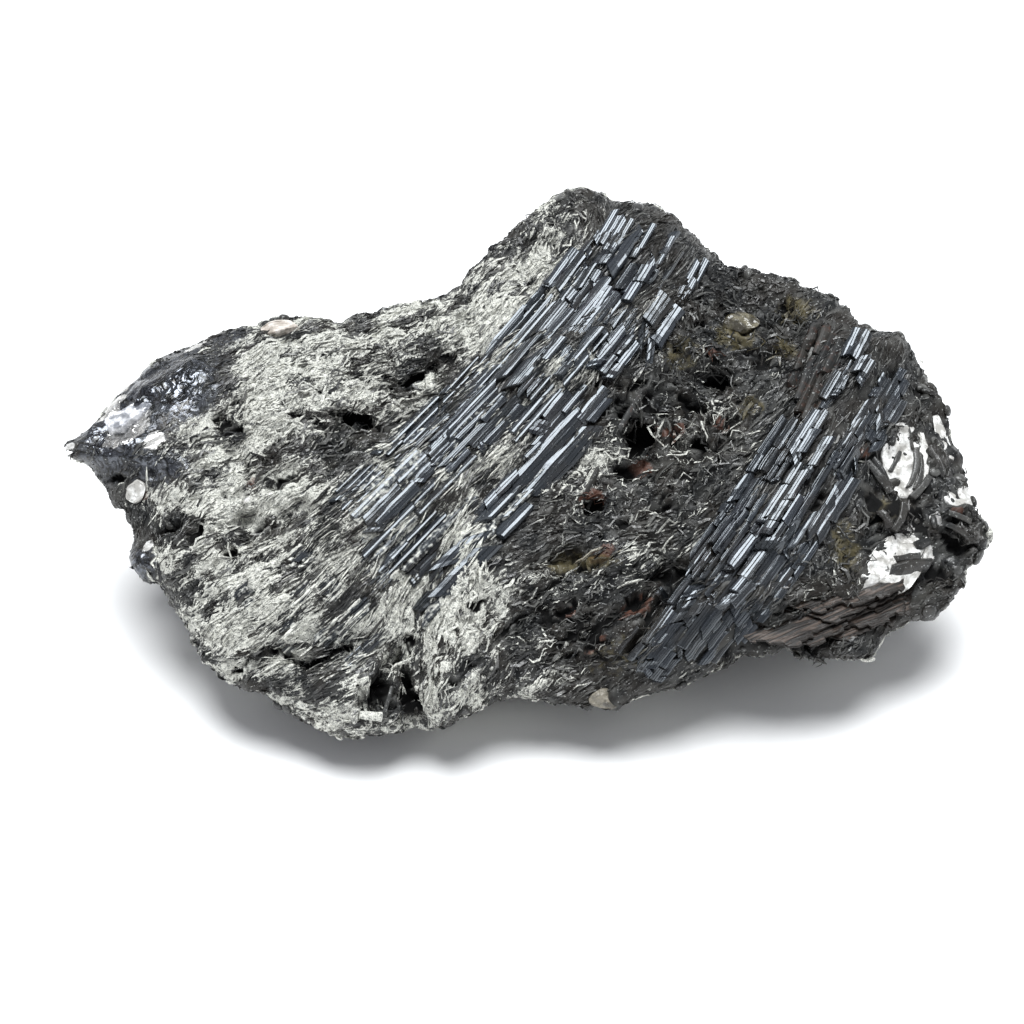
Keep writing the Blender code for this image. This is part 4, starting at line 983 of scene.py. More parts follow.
def feltDensity(name):
    # density = where the felt lies: less on rods, polished skin, holes and the ledge's seat, none near ground
    whole = 1 - 0.95 * fields["hole"]
    front = frontShare * pitGuard(skinX, skinS)
    bare = (1 - 0.78 * fields["rods"]) * (1 - np.clip(1.25 * fields["smooth"], 0, 1))
    bare = bare * (1 - fields["ledge"]) * whole
    share = {
        "felt_left_low": front * bare * ramp(-skinX, -4, 6),
        "felt_left_top": front * bare * ramp(-skinX, -8, 9),
        "felt_right": front * bare * ramp(skinX, -2, 6),
        "felt_back": (1 - frontShare) * (0.5 + 0.5 * fields["edge"]),
        "felt_bands": front * whole * fields["rods"] * (1 - 0.6 * ramp(skinX - 12 - 0.5 * skinS, 0, 4)),
    }[name]
    return share * (skinPoints[:, 2] > 0.7)


def feltStrands(name):
    # strands strewn over the felt along the fibres' way: size = random^long sets the length and the width
    # between the row's ends, and those that would bridge a hole or touch the ground are left out
    row, shape = felts[name], feltShape
    count = row["count"]
    place, normal, known, random = scatter(count, feltDensity(name), row["seed"])
    curl = row["curl"] * known["felt"] * (1 - 0.85 * known["rods"])
    way = fibreWay(place, normal, shape["calm"] + curl)
    size = random.random(count) ** shape["long"]
    side = np.cross(normal, way)
    spread = random.normal(0, 1, count) * (shape["spread"][0] + shape["spread"][1] * curl)
    way = unit(way + side * spread[:, None] + normal * random.normal(0.0, shape["rise"], count)[:, None])
    (shortest, longest), (thinnest, widest) = row["length"], row["width"]
    length = (shortest + (longest - shortest) * size) * (1 - 0.5 * known["edge"])
    width = thinnest + (widest - thinnest) * random.random(count) ** shape["wide"] * (0.4 + 0.6 * size)
    height = width * random.uniform(*shape["thick"], count)
    roll = random.normal(0, shape["roll"], count)[:, None]
    tone, grey = random.random(count), random.random(count)
    lift = row["lift"] * random.uniform(*shape["stand"], count) * (1 - 0.6 * known["edge"]) + 0.1 * height
    ends = [onBoard(place + way * (length * part)[:, None]) for part in (-0.4, 0.0, 0.4)]
    keep = sum(openDepth(end[0], end[1]) for end in ends) * (normal @ out > 0.2) < 0.6
    keep &= place[:, 2] - 0.5 * length * np.abs(way[:, 2]) - width > shape["clear"]  # of the ground
    bend, wave = (length * random.normal(0, shape[key][0] + shape[key][1] * curl, count)
                  for key in ("bend", "wave"))
    strands = {
        "middle": place + normal * lift[:, None], "run": way, "top": unit(normal + side * roll),
        "length": length * shape["body"], "width": width, "height": height, "bend": bend, "wave": wave,
        "dip": length * random.uniform(*shape["dip"], count) + 0.1 * known["edge"] * length,
        "tip": shape["tip"] * length, "offset": random.uniform(-50, 50, (count, 3)),
        "dust": np.clip(known["dust"] * 1.2 + (tone - row["clean"]), 0, 1) * (known["dust"] > 0.03),
        **{key: known[key] * (random.random(count) < part) for key, part in shape["stained"].items()},
        "shade": 1.5 * grey**3,
    }
    return {key: values[keep] for key, values in strands.items()}


for name, row in felts.items():
    curly = row["curl"] > 0.15
    stations, fullness = (0.12, 0.62), (1.0, 0.85)
    if curly:
        stations, fullness = (0.06, 0.34, 0.66, 0.94), (0.7, 1.0, 1.0, 0.6)
    felt = strandMesh(name, feltStrands(name), stations, fullness, feltShape["profile"])
    finishPiece(felt, schorl["schorl_fibre"])

# For a glint, a face turns the lamp overhead to the front: its normal is halfway between the two.
lampTilt = 8  # degrees behind the upright
frontEye = board["middle"] - 1.41 * across - 5.33 * up + 262.8 * out
lampWay = np.array([0.0, math.sin(math.radians(lampTilt)), math.cos(math.radians(lampTilt))])

# Each band's groups of rods: their breadth and length, a rod's breadth and the length of its pieces, the gap
# between them, lift and roll from least to most, the dust, the share left out, and a rod's breadth where it
# glints.
rodLook = {
    "middle": {"group": (1.0, 3.6), "run": (4.0, 12.0), "rod": (0.55, 1.5), "piece": (3.0, 13.0), "gap": 0.03,
               "lift": (0.0, 0.5), "roll": (14, 32), "dusty": 0.52, "missing": 0.10, "shine": (0.75, 1.3),
               "seed": 21},
    "right": {"group": (1.4, 3.2), "run": (5.0, 14.0), "rod": (0.62, 1.10), "piece": (1.2, 5.5), "gap": 0.05,
              "lift": (0.1, 0.7), "roll": (27, 44), "dusty": 0.10, "missing": 0.03, "shine": (0.72, 1.0),
              "seed": 22},
    "fan": {"group": (0.8, 2.6), "run": (2.0, 7.0), "rod": (0.18, 0.36), "piece": (1.0, 5.0), "gap": 0.05,
            "lift": (-0.30, 0.22), "roll": (14, 42), "dusty": 0.9, "missing": 0.45, "shine": (0.3, 0.5),
            "seed": 23},
}
# Places that mirror the lamp: x, s, length along the band, width, lift.
glints = {
    "middle": ((9.8, 25.6, 4.2, 2.8, 0.6), (6.3, 19.0, 4.8, 1.8, 0.65), (8.2, 17.6, 3.0, 1.2, 0.6),
               (9.8, 11.7, 5.0, 3.2, 0.9), (3.0, 12.0, 3.6, 0.9, 0.7), (-2.6, -3.0, 4.6, 0.9, 0.7),
               (12.2, 19.4, 5.0, 1.0, 0.6), (18.4, 20.2, 5.0, 1.4, 0.3), (13.4, 20.8, 4.0, 0.7, 0.7),
               (-8.6, 2.6, 4.6, 0.7, 0.5), (3.5, 20.6, 5.0, 0.6, 0.6), (1.4, 1.8, 4.6, 0.5, 0.6),
               (12.8, 24.0, 4.4, 0.6, 0.6), (15.6, 23.6, 3.4, 0.7, 0.5), (-6.0, 3.6, 3.4, 0.5, 0.6),
               (5.0, 6.4, 4.0, 0.5, 0.6),
               (-11.0, 0.4, 3.0, 0.5, 0.5)),
    "right": ((35.9, 12.9, 2.8, 2.0, 1.0), (36.1, 9.9, 2.4, 1.8, 1.05), (33.1, 8.1, 3.0, 1.7, 1.15),
              (29.8, 2.9, 6.4, 1.6, 1.2), (30.7, 0.5, 5.6, 0.8, 1.1), (26.7, -4.0, 7.8, 1.8, 1.2),
              (24.0, -10.0, 5.0, 1.3, 1.15),
              (21.7, -13.6, 3.8, 1.6, 1.15), (22.3, -9.5, 4.0, 1.0, 1.05)),
    "fan": (),
}
slabPlace = ((31.8, 10.4), (6.6, 2.4), 62)  # the brown slab: centre, half sizes, turn in degrees
rodShape = {
    "start": (-0.04, 0.02), "end": 1.05,  # of the rows, as shares of the band
    "apart": (0.05, 0.5), "ends": 0.5, "skewed": 0.035,  # between groups, how uneven the ends, and the slant
    "own": (-0.05, 0.07), "step": 0.05,  # the lift of one rod and of one of its pieces
    "tilt": 7.0, "glintTilt": (3.0, 14.0), "glintTurned": 0.15,  # degrees, and the share that turns further
    "glintPiece": (1.4, 4.5), "wide": (0.85, 1.15), "dusty": (0.2, 1.2), "dustAlong": (1.7, -0.35),
    "shortest": 0.25, "inside": 0.955,  # a piece's least length, and the share of the outline it stays in
    "height": 0.9, "overlap": 1.28, "root": 0.5, "wobble": (0.84, 1.14), "skew": 0.9,
    "marks": 400,  # points along a band when a glint looks for its nearest
}


def bandPlace(band, share, offset):
    # x, s = the line's point at that share of its length, moved sideways by offset; way = its direction
    total, marks = lineMarks(band["line"])

    def onLine(at):
        return np.stack([np.interp(at, marks, values) for values in zip(*band["line"])], -1)

    inner = np.clip(share, 0.07, 0.93)
    way = unit(onLine(inner + 0.06) - onLine(inner - 0.06))
    place = onLine(share) + way * ((share - np.clip(share, 0, 1)) * total)[..., None]
    return place + np.stack([-way[..., 1], way[..., 0]], -1) * offset[..., None], way


def rodRows(name, band, look):
    # rows of start, end, side, width, lift, roll, dust and shine for every rod: groups side by side, each
    # split across into rods and along into pieces, and then the groups that glint
    random = np.random.default_rng(look["seed"])
    total, _ = lineMarks(band["line"])
    rows, shape = [], rodShape
    (steady, swing), uneven, uplift = shape["glintTilt"], shape["ends"], shape["step"]

    def addGroup(share, offset, length, wide, lift, roll, dust, shiny):
        count = max(1 if shiny else 2, round(wide / random.uniform(*look["shine" if shiny else "rod"])))
        step = wide / count
        skew = 0.0 if shiny else random.normal(0, shape["skewed"])
        pieces = shape["glintPiece"] if shiny else look["piece"]
        for i in range(count):
            at = share - length / total / 2 + random.uniform(-uneven, uneven) / total
            end = min(share + length / total / 2 + random.uniform(-uneven, uneven) / total, shape["end"])
            side = offset + (i + 0.5 - count / 2) * step
            own = lift + random.uniform(*shape["own"])
            while at < end:
                stop = min(at + random.uniform(*pieces) / total, end)
                drift = skew * ((at + stop) / 2 - share) * total
                tilt = steady + swing * (random.random() < shape["glintTurned"]) if shiny else shape["tilt"]
                rows.append((at, stop, side + drift, step * random.uniform(*shape["wide"]),
                             own + random.uniform(-uplift, uplift), roll + random.normal(0, tilt),
                             dust * random.uniform(*shape["dusty"]), shiny))
                at = stop + look["gap"] / total

    seat, (grows, shift) = -0.5, shape["dustAlong"]
    while seat < 0.5:
        wide = random.uniform(*look["group"])
        share = random.uniform(*shape["start"])
        while share < 1.0:
            length = random.uniform(*look["run"])
            breadth = np.interp(share, (0, 1), band["widths"])
            roll = random.choice((-1, 1)) * random.uniform(*look["roll"])
            centre = share + length / total / 2
            dust = look["dusty"] * (np.clip(grows * centre + shift, 0.05, 1) if name != "fan" else 1.0)
            lift = random.uniform(*look["lift"])
            if random.random() > look["missing"]:
                addGroup(centre, seat * breadth + wide / 2, length, wide, lift, roll, dust, 0)
            share += (length + random.uniform(*shape["apart"])) / total
        seat += wide / np.mean(band["widths"])
    fine = np.linspace(0, 1, shape["marks"])
    spots, ways = bandPlace(band, fine, np.zeros_like(fine))
    for x, s, length, wide, lift in glints[name]:
        gap = np.array([x, s]) - spots
        near = np.argmin(np.hypot(*gap.T))
        offset = gap[near] @ np.array([-ways[near][1], ways[near][0]])
        addGroup(fine[near], offset, length, wide, lift, 0.0, 0.0, 1)
    return np.array(rows), random


def rodStrands(name):
    # rods between their ends on the face, those off the outline, over a crack or on the brown slab left out;
    # a top's normal = the one that glints, turned by roll about the run
    band, look = bands[name], rodLook[name]
    rows, random = rodRows(name, band, look)
    start, end, side = rows.T[:3]
    (first, _), (last, _) = bandPlace(band, start, side), bandPlace(band, end, side)
    inside = np.maximum(outlineShare(*first.T), outlineShare(*last.T))
    slab = (ellipseSquare(*((first + last) / 2).T, *slabPlace) < 1) & (rows[:, 7] < 1)
    crossed = sum(openDepth(*(first + (last - first) * part).T) for part in (0.1, 0.5, 0.9))
    keep = (np.hypot(*(last - first).T) > rodShape["shortest"]) & (inside < rodShape["inside"])
    keep &= (crossed < 0.5) & ~slab
    width, lift, roll, dust, shiny = rows[keep, 3:].T
    first, last = facePoints(*first[keep].T), facePoints(*last[keep].T)
    run = unit(last - first)
    near = (first + last) / 2
    half = unit(unit(frontEye - near) + lampWay)
    run = np.where((shiny > 0)[:, None], unit(flatten(run, half)), run)
    normal = unit(flatten(half, run))
    angle = np.radians(roll)[:, None]
    height = width * rodShape["height"]
    count = len(run)
    x, s, _ = onBoard(near)
    return {
        "middle": near + out * (lift + faceNoise(x, s) - 0.25 * height)[:, None], "run": run,
        "top": normal * np.cos(angle) + np.cross(normal, run) * np.sin(angle),
        "length": np.linalg.norm(last - first, axis=1), "width": width * rodShape["overlap"],
        "height": height, "root": np.maximum(lift, 0) + rodShape["root"],
        "offset": random.uniform(-50, 50, (count, 3)), "dust": np.where(shiny > 0, 0, dust),
        "shade": random.random(count) ** 1.3,
        "wobble": random.uniform(*rodShape["wobble"], (count, len(rodStations))),
        "skew": random.normal(0, rodShape["skew"], count),
    }


rodStations, rodFullness = (0.0, 0.02, 0.3, 0.55, 0.8, 0.98, 1.0), (0.8, 0.97, 1.0, 1.0, 1.0, 0.97, 0.8)
rodProfile = ((1.0, 0.1), (0.90, 0.72), (0.70, 0.88), (0.26, 1.0), (-0.30, 1.0), (-0.70, 0.90), (-0.90, 0.74),
              (-1.0, 0.1), (0.0, -1.0))
bladeProfile = ((1.0, 0.1), (0.93, 0.74), (0.60, 0.93), (0.54, 0.82), (0.47, 0.98), (0.12, 1.0), (0.05, 0.88),
                (-0.03, 1.02), (-0.38, 0.99), (-0.45, 0.85), (-0.52, 0.95), (-0.93, 0.72), (-1.0, 0.1),
                (0.0, -1.0))
for name in bands:
    profile = rodProfile if name == "fan" else bladeProfile
    rods = strandMesh(f"rods_{name}", rodStrands(name), rodStations, rodFullness, profile)
    finishPiece(rods, schorl["schorl_rods"])

# Single prisms lying loose: both ends as x and s, width, lift, sideways bow, dust, shade, and rust.
loosePrisms = (
    (40.3, 1.2, 39.0, -1.0, 0.5, 0.2, 0, 0, 0.5, 0), (42.0, 1.6, 40.8, -2.6, 0.75, 0.2, 0.45, 0, 0.5, 0),
    (42.6, 0.9, 41.5, -2.9, 0.6, 0.2, 0.35, 0, 0.4, 0), (43.3, -1.5, 41.1, -3.8, 0.9, 0.3, 0.1, 0, 0.6, 0),
    (43.3, 1.6, 44.8, -1.5, 0.75, 0.2, 0.2, 0, 0.3, 0), (44.0, 0.9, 44.9, -0.8, 0.5, 0.3, 0.1, 0, 0.2, 0),
    (36.4, 0.1, 38.8, -3.3, 0.95, 0.2, 0.1, 0, 0.3, 0), (37.1, 0.4, 38.9, -2.8, 0.7, 0.25, 0.1, 0, 0.2, 0),
    (40.2, -4.4, 38.8, -7.3, 1.0, 0.3, 0.3, 0, 0.2, 0), (37.3, -5.2, 38.3, -7, 0.95, 0.3, 0.3, 0, 0.1, 0),
    (38.3, -11.4, 42.6, -11.0, 1.6, 0.25, 0.1, 0.1, 0.2, 0),
    (38.9, -10.3, 41.6, -10.0, 1.0, 0.3, 0, 0.1, 0.3, 0), (41.2, -8.9, 42.8, -8.4, 1.0, 0.25, 0, 0, 0.1, 0),
    (44.9, -5.4, 47.3, -6.4, 0.6, 0.3, 0.1, 0.2, 0.6, 0),
    (44.6, -6.6, 47.4, -8.4, 0.7, 0.2, 0.2, 0.1, 0.2, 0), (4, -7.3, 8.6, 0.6, 0.8, -0.25, 0, 0.3, 0.2, 0.22),
    (10.0, 3.4, 13.2, 8.2, 0.8, -0.25, 0.1, 0.3, 0.2, 0.22),
    (6.6, -5.0, 10.4, 2.2, 0.5, -0.2, 0.1, 0.35, 0.4, 0.22),
    (4.4, -4.4, 8.4, 1.6, 0.5, -0.2, 0, 0.3, 0.3, 0.22), (-17, -26, -14.7, -26.3, 1, -0.1, 0, 0.6, 0.6, 0),
    (-13.7, -23.2, -14.7, -26.6, 0.5, -0.3, 0, 0.25, 0.4, 0),
    (28.7, 8.3, 30.6, 12.2, 1.2, 0.06, 0, 0.25, 0.15, 0.30),
    (30.7, 12.4, 32.3, 15.8, 1.2, 0.10, 0, 0.25, 0.1, 0.30),
    (29.2, 6.7, 31.6, 11.6, 1.25, 0.18, 0, 0.2, 0.05, 0.30),
    (31.7, 11.8, 33.3, 15.2, 1.2, 0.14, 0, 0.25, 0.2, 0.30),
    (29.2, 5.3, 33.9, 14.2, 1.25, 0.20, 0, 0.22, 0.1, 0.30),
    (29.6, 4.2, 32.2, 9.4, 1.2, 0.26, 0, 0.25, 0.05, 0.30),
    (32.3, 9.6, 34.5, 13.3, 1.2, 0.25, 0, 0.15, 0.2, 0.30),
    (30.2, 3.6, 35, 12.3, 1.1, 0.20, 0, 0.25, 0.1, 0.30),
    (20.6, -13.6, 13.6, -20.6, 1.1, 0.2, 0, 0.1, 0.5, 0.01),
    (17.8, -12.8, 11.4, -19.6, 0.9, 0.0, 0.1, 0.2, 0.4, 0.01),
    (22.9, -16, 19, -20, 1, 0.1, 0, 0.1, 0.4, 0.01),
)


looseLook = {"seed": 31, "tilt": 0.45, "thick": 0.8, "thickest": 1.0, "raise": 0.1, "dip": 0.15, "root": 0.5,
             "wobble": (0.75, 1.15), "skew": 0.35}


def looseStrands(rows):
    # tops face out of the board, tilted away from the lamp
    startX, startS, endX, endS, width, lift, bow, dust, shade, rust = rows.T
    first, last = facePoints(startX, startS), facePoints(endX, endS)
    run = unit(last - first)
    lay = np.cross(out, run)
    near = (first + last) / 2
    count, look = len(rows), looseLook
    random = np.random.default_rng(look["seed"])
    x, s, _ = onBoard(near)
    height = np.minimum(width * look["thick"], look["thickest"])
    tilt = np.sign(lay @ lampWay) * random.uniform(0.0, look["tilt"], count)
    return {
        "middle": near + out * (lift + faceNoise(x, s) + look["raise"] - 0.2 * height)[:, None], "run": run,
        "top": unit(out - lay * tilt[:, None]),
        "length": np.linalg.norm(last - first, axis=1), "width": width, "height": height,
        "root": lift + look["root"], "bend": bow, "dip": np.full(count, look["dip"]),
        "offset": random.uniform(-50, 50, (count, 3)), "dust": dust, "rust": rust, "shade": shade,
        "wobble": random.uniform(*look["wobble"], (count, len(rodStations))),
        "skew": random.normal(0, look["skew"], count),
    }


for name, finish, rusty in (("loose_prisms", "schorl_fibre", False), ("brown_prisms", "schorl_brown", True)):
    rows = np.array([row for row in loosePrisms if (row[9] > 0) == rusty])
    prisms = strandMesh(name, looseStrands(rows), rodStations, rodFullness, rodProfile)
    finishPiece(prisms, schorl[finish])


def spherePatch(cells):
    # the six square sides of a cube of directions, joined into one closed grid
    line = np.tan(np.linspace(-1, 1, cells + 1) * math.pi / 4)
    column, row = np.meshgrid(line, line)
    one = np.ones_like(column)
    sides = [(column, row, one), (row, column, -one), (one, column, row),
             (-one, row, column), (row, one, column), (column, -one, row)]
    points = np.concatenate([np.stack(side, -1).reshape(-1, 3) for side in sides])
    quads = np.concatenate([gridFaces(cells + 1, cells + 1) + i * (cells + 1) ** 2 for i in range(6)])
    _, firstAt, back = np.unique(np.round(points, 6), axis=0, return_index=True, return_inverse=True)
    return unit(points[firstAt]), back.reshape(-1)[quads]


knobLook = {
    "count": 240, "seed": 17, "cells": 3, "size": (0.3, 1.0), "small": 2.5, "squeeze": 0.55,
    "from": 38, "over": 6,  # where the right end begins, and within how far the knobs come on in full
    "uneven": (0.7, 1.3), "noises": ((1.3, 0.45), (0.6, 0.25)), "stains": (0.2, 1.1), "clear": 1.5,
}


def knobMesh():
    # point = place + size * direction, squeezed along the face's normal and swollen by noise; on the rim and
    # the right end
    right = ramp(skinX, knobLook["from"], knobLook["over"])
    clear = pitGuard(skinX, skinS) * (1 - fields["ledge"]) * (1 - fields["smooth"])
    clear = clear * (skinPoints[:, 2] > knobLook["clear"])
    density = (fields["edge"] * (0.3 + right) + 0.5 * right * frontShare) * clear
    count, (low, high) = knobLook["count"], knobLook["size"]
    place, normal, known, random = scatter(count, density, knobLook["seed"])
    size = low + (high - low) * random.random(count) ** knobLook["small"]
    ways, quads = spherePatch(knobLook["cells"])
    arms = ways * (size[:, None] * random.uniform(*knobLook["uneven"], (count, 3)))[:, None]
    arms -= ((1 - knobLook["squeeze"]) * (arms * normal[:, None]).sum(-1))[..., None] * normal[:, None]
    points = place[:, None] + arms
    points = points + arms * manyNoises(points.reshape(-1, 3), knobLook["noises"], 75).reshape(count, -1, 1)
    stains = knobLook["stains"]
    attributes = {key: known[key] * random.uniform(*stains, count) for key in ("dust", "rust", "olive")}
    attributes["shade"] = random.random(count) ** 2
    attributes = {key: np.repeat(values, len(ways)) for key, values in attributes.items()}
    faces = quads[None] + (np.arange(count) * len(ways))[:, None, None]
    return putMesh("knobs", points, [faces.reshape(-1, 4)], attributes, True)


finishPiece(knobMesh(), schorl["schorl_fibre"])

# Each mineral: light, dark and seam colours, the size of its cleavage cells, roughness, the depth of the
# bumps of its cleavage and its grain, and its index of refraction.
minerals = {
    "milky_quartz": {"colours": (rgb(0.76, 0.76, 0.74), rgb(0.42, 0.41, 0.385), rgb(0.10, 0.09, 0.08)),
                     "cell": 1.6, "roughness": 0.22, "bumps": (0.25, 0.08), "ior": 1.55},
    # the quartz on the beak: its pale silvery colour also stands in for the mirror glare there, a painted
    # reflection
    "silvery_quartz_and_glare": {"colours": (rgb(0.74, 0.75, 0.78), rgb(0.19, 0.20, 0.225), rgb(0.05, 0.05, 0.06)),
                       "cell": 1.3, "roughness": 0.16, "bumps": (0.35, 0.04), "ior": 1.9},
    "tan_feldspar": {"colours": (rgb(0.22, 0.20, 0.16), rgb(0.085, 0.078, 0.064), rgb(0.032, 0.028, 0.022)),
                     "cell": 0.8, "roughness": 0.4, "bumps": (0.25, 0.10), "ior": 1.53},
    "feldspar": {"colours": (rgb(0.66, 0.61, 0.56), rgb(0.40, 0.35, 0.30), rgb(0.10, 0.08, 0.065)),
                 "cell": 1.1, "roughness": 0.35, "bumps": (0.22, 0.08), "ior": 1.53},
    "golden_mica": {"colours": (rgb(0.15, 0.135, 0.09), rgb(0.05, 0.044, 0.03), rgb(0.016, 0.013, 0.009)),
                    "cell": 1.3, "roughness": 0.22, "bumps": (0.30, 0.06), "ior": 1.7},
}
# Each grain: mineral, slot, cells along a side, growth, and how far it stands above the face.
grainLook = {
    "quartz_upper_right": ("milky_quartz", "quartz", 40, 1.2, 0.0),
    "quartz_lower_right": ("milky_quartz", "quartz", 40, 1.25, 0.0),
    "quartz_right_edge": ("milky_quartz", "quartz", 28, 0.7, -0.6),
    "quartz_right_corner": ("milky_quartz", "quartz", 20, 1.0, 0.1),
    "quartz_beak": ("silvery_quartz_and_glare", "quartz", 34, 1.0, -0.05),
    "quartz_left_notch": ("milky_quartz", "quartz", 18, 1.15, -0.05),
    "feldspar_crest": ("feldspar", "feldspar", 24, 1.0, 0.5),
    "feldspar_foot": ("tan_feldspar", "feldspar", 24, 0.9, 0.5),
    "golden_mica": ("golden_mica", "golden_mica", 28, 1.0, 0.6),
}
grainShape = {"sharp": 18, "noises": ((1.4, 0.16), (0.6, 0.07)), "topNoises": ((1.1, 0.22), (0.5, 0.1))}
mineralCells = {"mottle": 1.2, "fine": 0.25, "steps": 0.7}  # in millimetres; steps as a share of a cell
mineralEdges = {"seam": (0.0, 0.06), "mottle": (0.4, 0.6), "fine": (0.45, 0.6), "rough": (0.7, 1.3)}


def mineralLook(name, colours, cell, roughness, bumps, ior):
    # two colours mottled through each other, darker in fine seams, with cleavage steps in the bump
    look = Look(name, IOR=ior)
    size, edge = mineralCells, mineralEdges
    mottle, fine = look.noise(size["mottle"], 3.0), look.noise(size["fine"], 3.0)
    seams = look.cells(cell, "DISTANCE_TO_EDGE").between(*edge["seam"])
    colour = look.mix(mottle.between(*edge["mottle"]), colours[0], colours[1])
    colour = look.mix((1 - seams) * fine.between(*edge["fine"]) * 0.5, colour, colours[2])
    rough = look.blend(fine, *(roughness * part for part in edge["rough"]))
    return look.finish(colour, rough, [(look.cells(cell * size["steps"]), bumps[0]), (fine, bumps[1])])


def grainForm(node, cells, seed, grow, proud):
    # radius = (the sum of (direction . side / distance)^sharp over the solid's flat sides)^(-1 / sharp),
    # roughened; no higher than the face there and this much more
    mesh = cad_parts[node].data
    spots = np.array([vertex.co for vertex in mesh.vertices]) / mm
    centre = (spots.min(0) + spots.max(0)) / 2
    normals = np.array([polygon.normal for polygon in mesh.polygons])
    seats = np.array([polygon.center for polygon in mesh.polygons]) / mm
    distances = np.maximum(((seats - centre) * normals).sum(1), 0.05)
    ways, quads = spherePatch(cells)
    facing = np.maximum(ways @ normals.T, 0) / distances
    radius = (facing ** grainShape["sharp"]).sum(1) ** (-1 / grainShape["sharp"])
    radius = np.minimum(radius, 1 / facing.max(1)) * grow
    points = centre + ways * radius[:, None]
    points += ways * manyNoises(points, grainShape["noises"], seed)[:, None]
    x, s, w = onBoard(points)
    top = faceHeight(x, s) + faceNoise(x, s) + proud + manyNoises(points, grainShape["topNoises"], seed)
    return boardPoints(x, s, np.minimum(w, top)), quads


mineral = {name: mineralLook(name, **row) for name, row in minerals.items()}
for seed, (node, (kind, slotName, cells, grow, proud)) in enumerate(grainLook.items(), 80):
    form, quads = grainForm(node, cells, seed, grow, proud)
    finishPiece(putMesh(node + "_grain", form, [quads], {}, True), mineral[kind], [node])

ledgeLook = {
    "at": (33.6, -14.4), "run": (math.cos(math.radians(28)), math.sin(math.radians(28)), 0.04),
    "top": (0.02, -0.14, 0.99),
    # length, depth and thickness of each leaf, then how far along, out and down it lies
    "leaves": (
        (14.5, 5.0, 0.28, 0.9, 0.0, -0.18), (13.0, 5.0, 0.20, 1.2, 0.45, 0.30),
        (21.0, 5.4, 0.32, -1.6, 0.55, 0.74), (18.0, 5.4, 0.20, -1.0, 0.95, 1.14),
        (16.0, 6.0, 0.32, 2.6, 1.15, 1.56), (12.5, 6.0, 0.20, 1.8, 1.55, 1.96),
        (10.0, 6.2, 0.40, 1.2, 1.75, 2.40),
    ),
    "bow": 0.9, "retreat": 2.4, "rings": 130,
    "ragged": 1.1, "tornNoises": ((3.1, 1.1), (1.2, 0.45)), "nibble": (0.4, 0.10), "steps": 2.2,
    "wavy": (2.6, 0.14),  # the cell and height of the leaves' own waves
    # a leaf's cross-section, as inward and up: shares of its depth and thickness
    "profile": ((0, -0.5), (-0.02, -0.2), (-0.02, 0.2), (0.0, 0.5), (0.12, 0.56), (0.3, 0.5), (0.6, 0.5),
                (1, 0.5), (1, -0.5), (0.5, -0.5)),
    # leaf: the leaves' colour; gap: near-black streaks, painted shade of the gaps between leaves; torn: front
    # edges darkened as painted shade
    "leaf": rgb(0.068, 0.050, 0.040), "gap": rgb(0.008, 0.006, 0.005), "torn": rgb(0.012, 0.009, 0.007),
}


def leafForm(row, seed):
    # a rounded slab's profile carried along the run: its front edge bows out by sin(pi u)^0.6 and is ragged
    # with noise, u being the share of the length
    length, depth, thickness, along, outward, down = row
    share = np.linspace(0, 1, ledgeLook["rings"])
    far = (share * length)[:, None]
    spot = np.stack([share * length + along, np.zeros_like(share), np.full_like(share, seed * 7.0)], 1)
    torn = manyNoises(spot, ledgeLook["tornNoises"], 90)
    (cell, bite), steps = ledgeLook["nibble"], ledgeLook["steps"]
    nibbled = 0.85 * np.round(torn * steps) / steps + 0.15 * torn + bite * latticeNoise(spot, cell, 93)
    ragged = ledgeLook["ragged"] * nibbled
    taper = np.clip(np.minimum(share, 1 - share) * 5, 0, 1) ** 0.6
    deep = depth * (0.35 + 0.65 * np.clip(2.2 * share, 0, 1))
    front = -ledgeLook["bow"] * np.sin(math.pi * share) ** 0.6 - 0.35 - ragged
    front = front + ledgeLook["retreat"] * (1 - taper)
    inner, upper = np.array(ledgeLook["profile"]).T
    inward = front[:, None] + (deep - front)[:, None] * np.maximum(inner, 0) - np.minimum(inner, 0) * -4
    spot = np.stack([share * length, np.zeros_like(share), np.full_like(share, seed)], 1)
    cell, wave = ledgeLook["wavy"]
    high = upper * thickness * (0.25 + 0.75 * taper[:, None]) + wave * latticeNoise(spot, cell, 92)[:, None]
    run = unit(np.array(ledgeLook["run"]))
    inside = unit(np.cross(ledgeLook["top"], run))
    top = np.cross(run, inside)
    start = facePoints(*ledgeLook["at"]) + run * along - inside * outward - top * down
    rings = start + run * ((share - 0.5) * length)[:, None, None] + inside * inward[..., None]
    rings = rings + top * high[..., None]
    points = np.concatenate([rings.reshape(-1, 3), rings[0].mean(0)[None], rings[-1].mean(0)[None]])
    edge = np.concatenate([np.tile(np.abs(inner) < 0.05, len(share)), [1, 1]])
    grain = np.stack(np.broadcast_arrays(inward, high + seed * 5.0, far), -1).reshape(-1, 3)
    return points, *tubeFaces(len(share), len(inner), True), edge, np.concatenate([grain, grain[[0, -1]]])


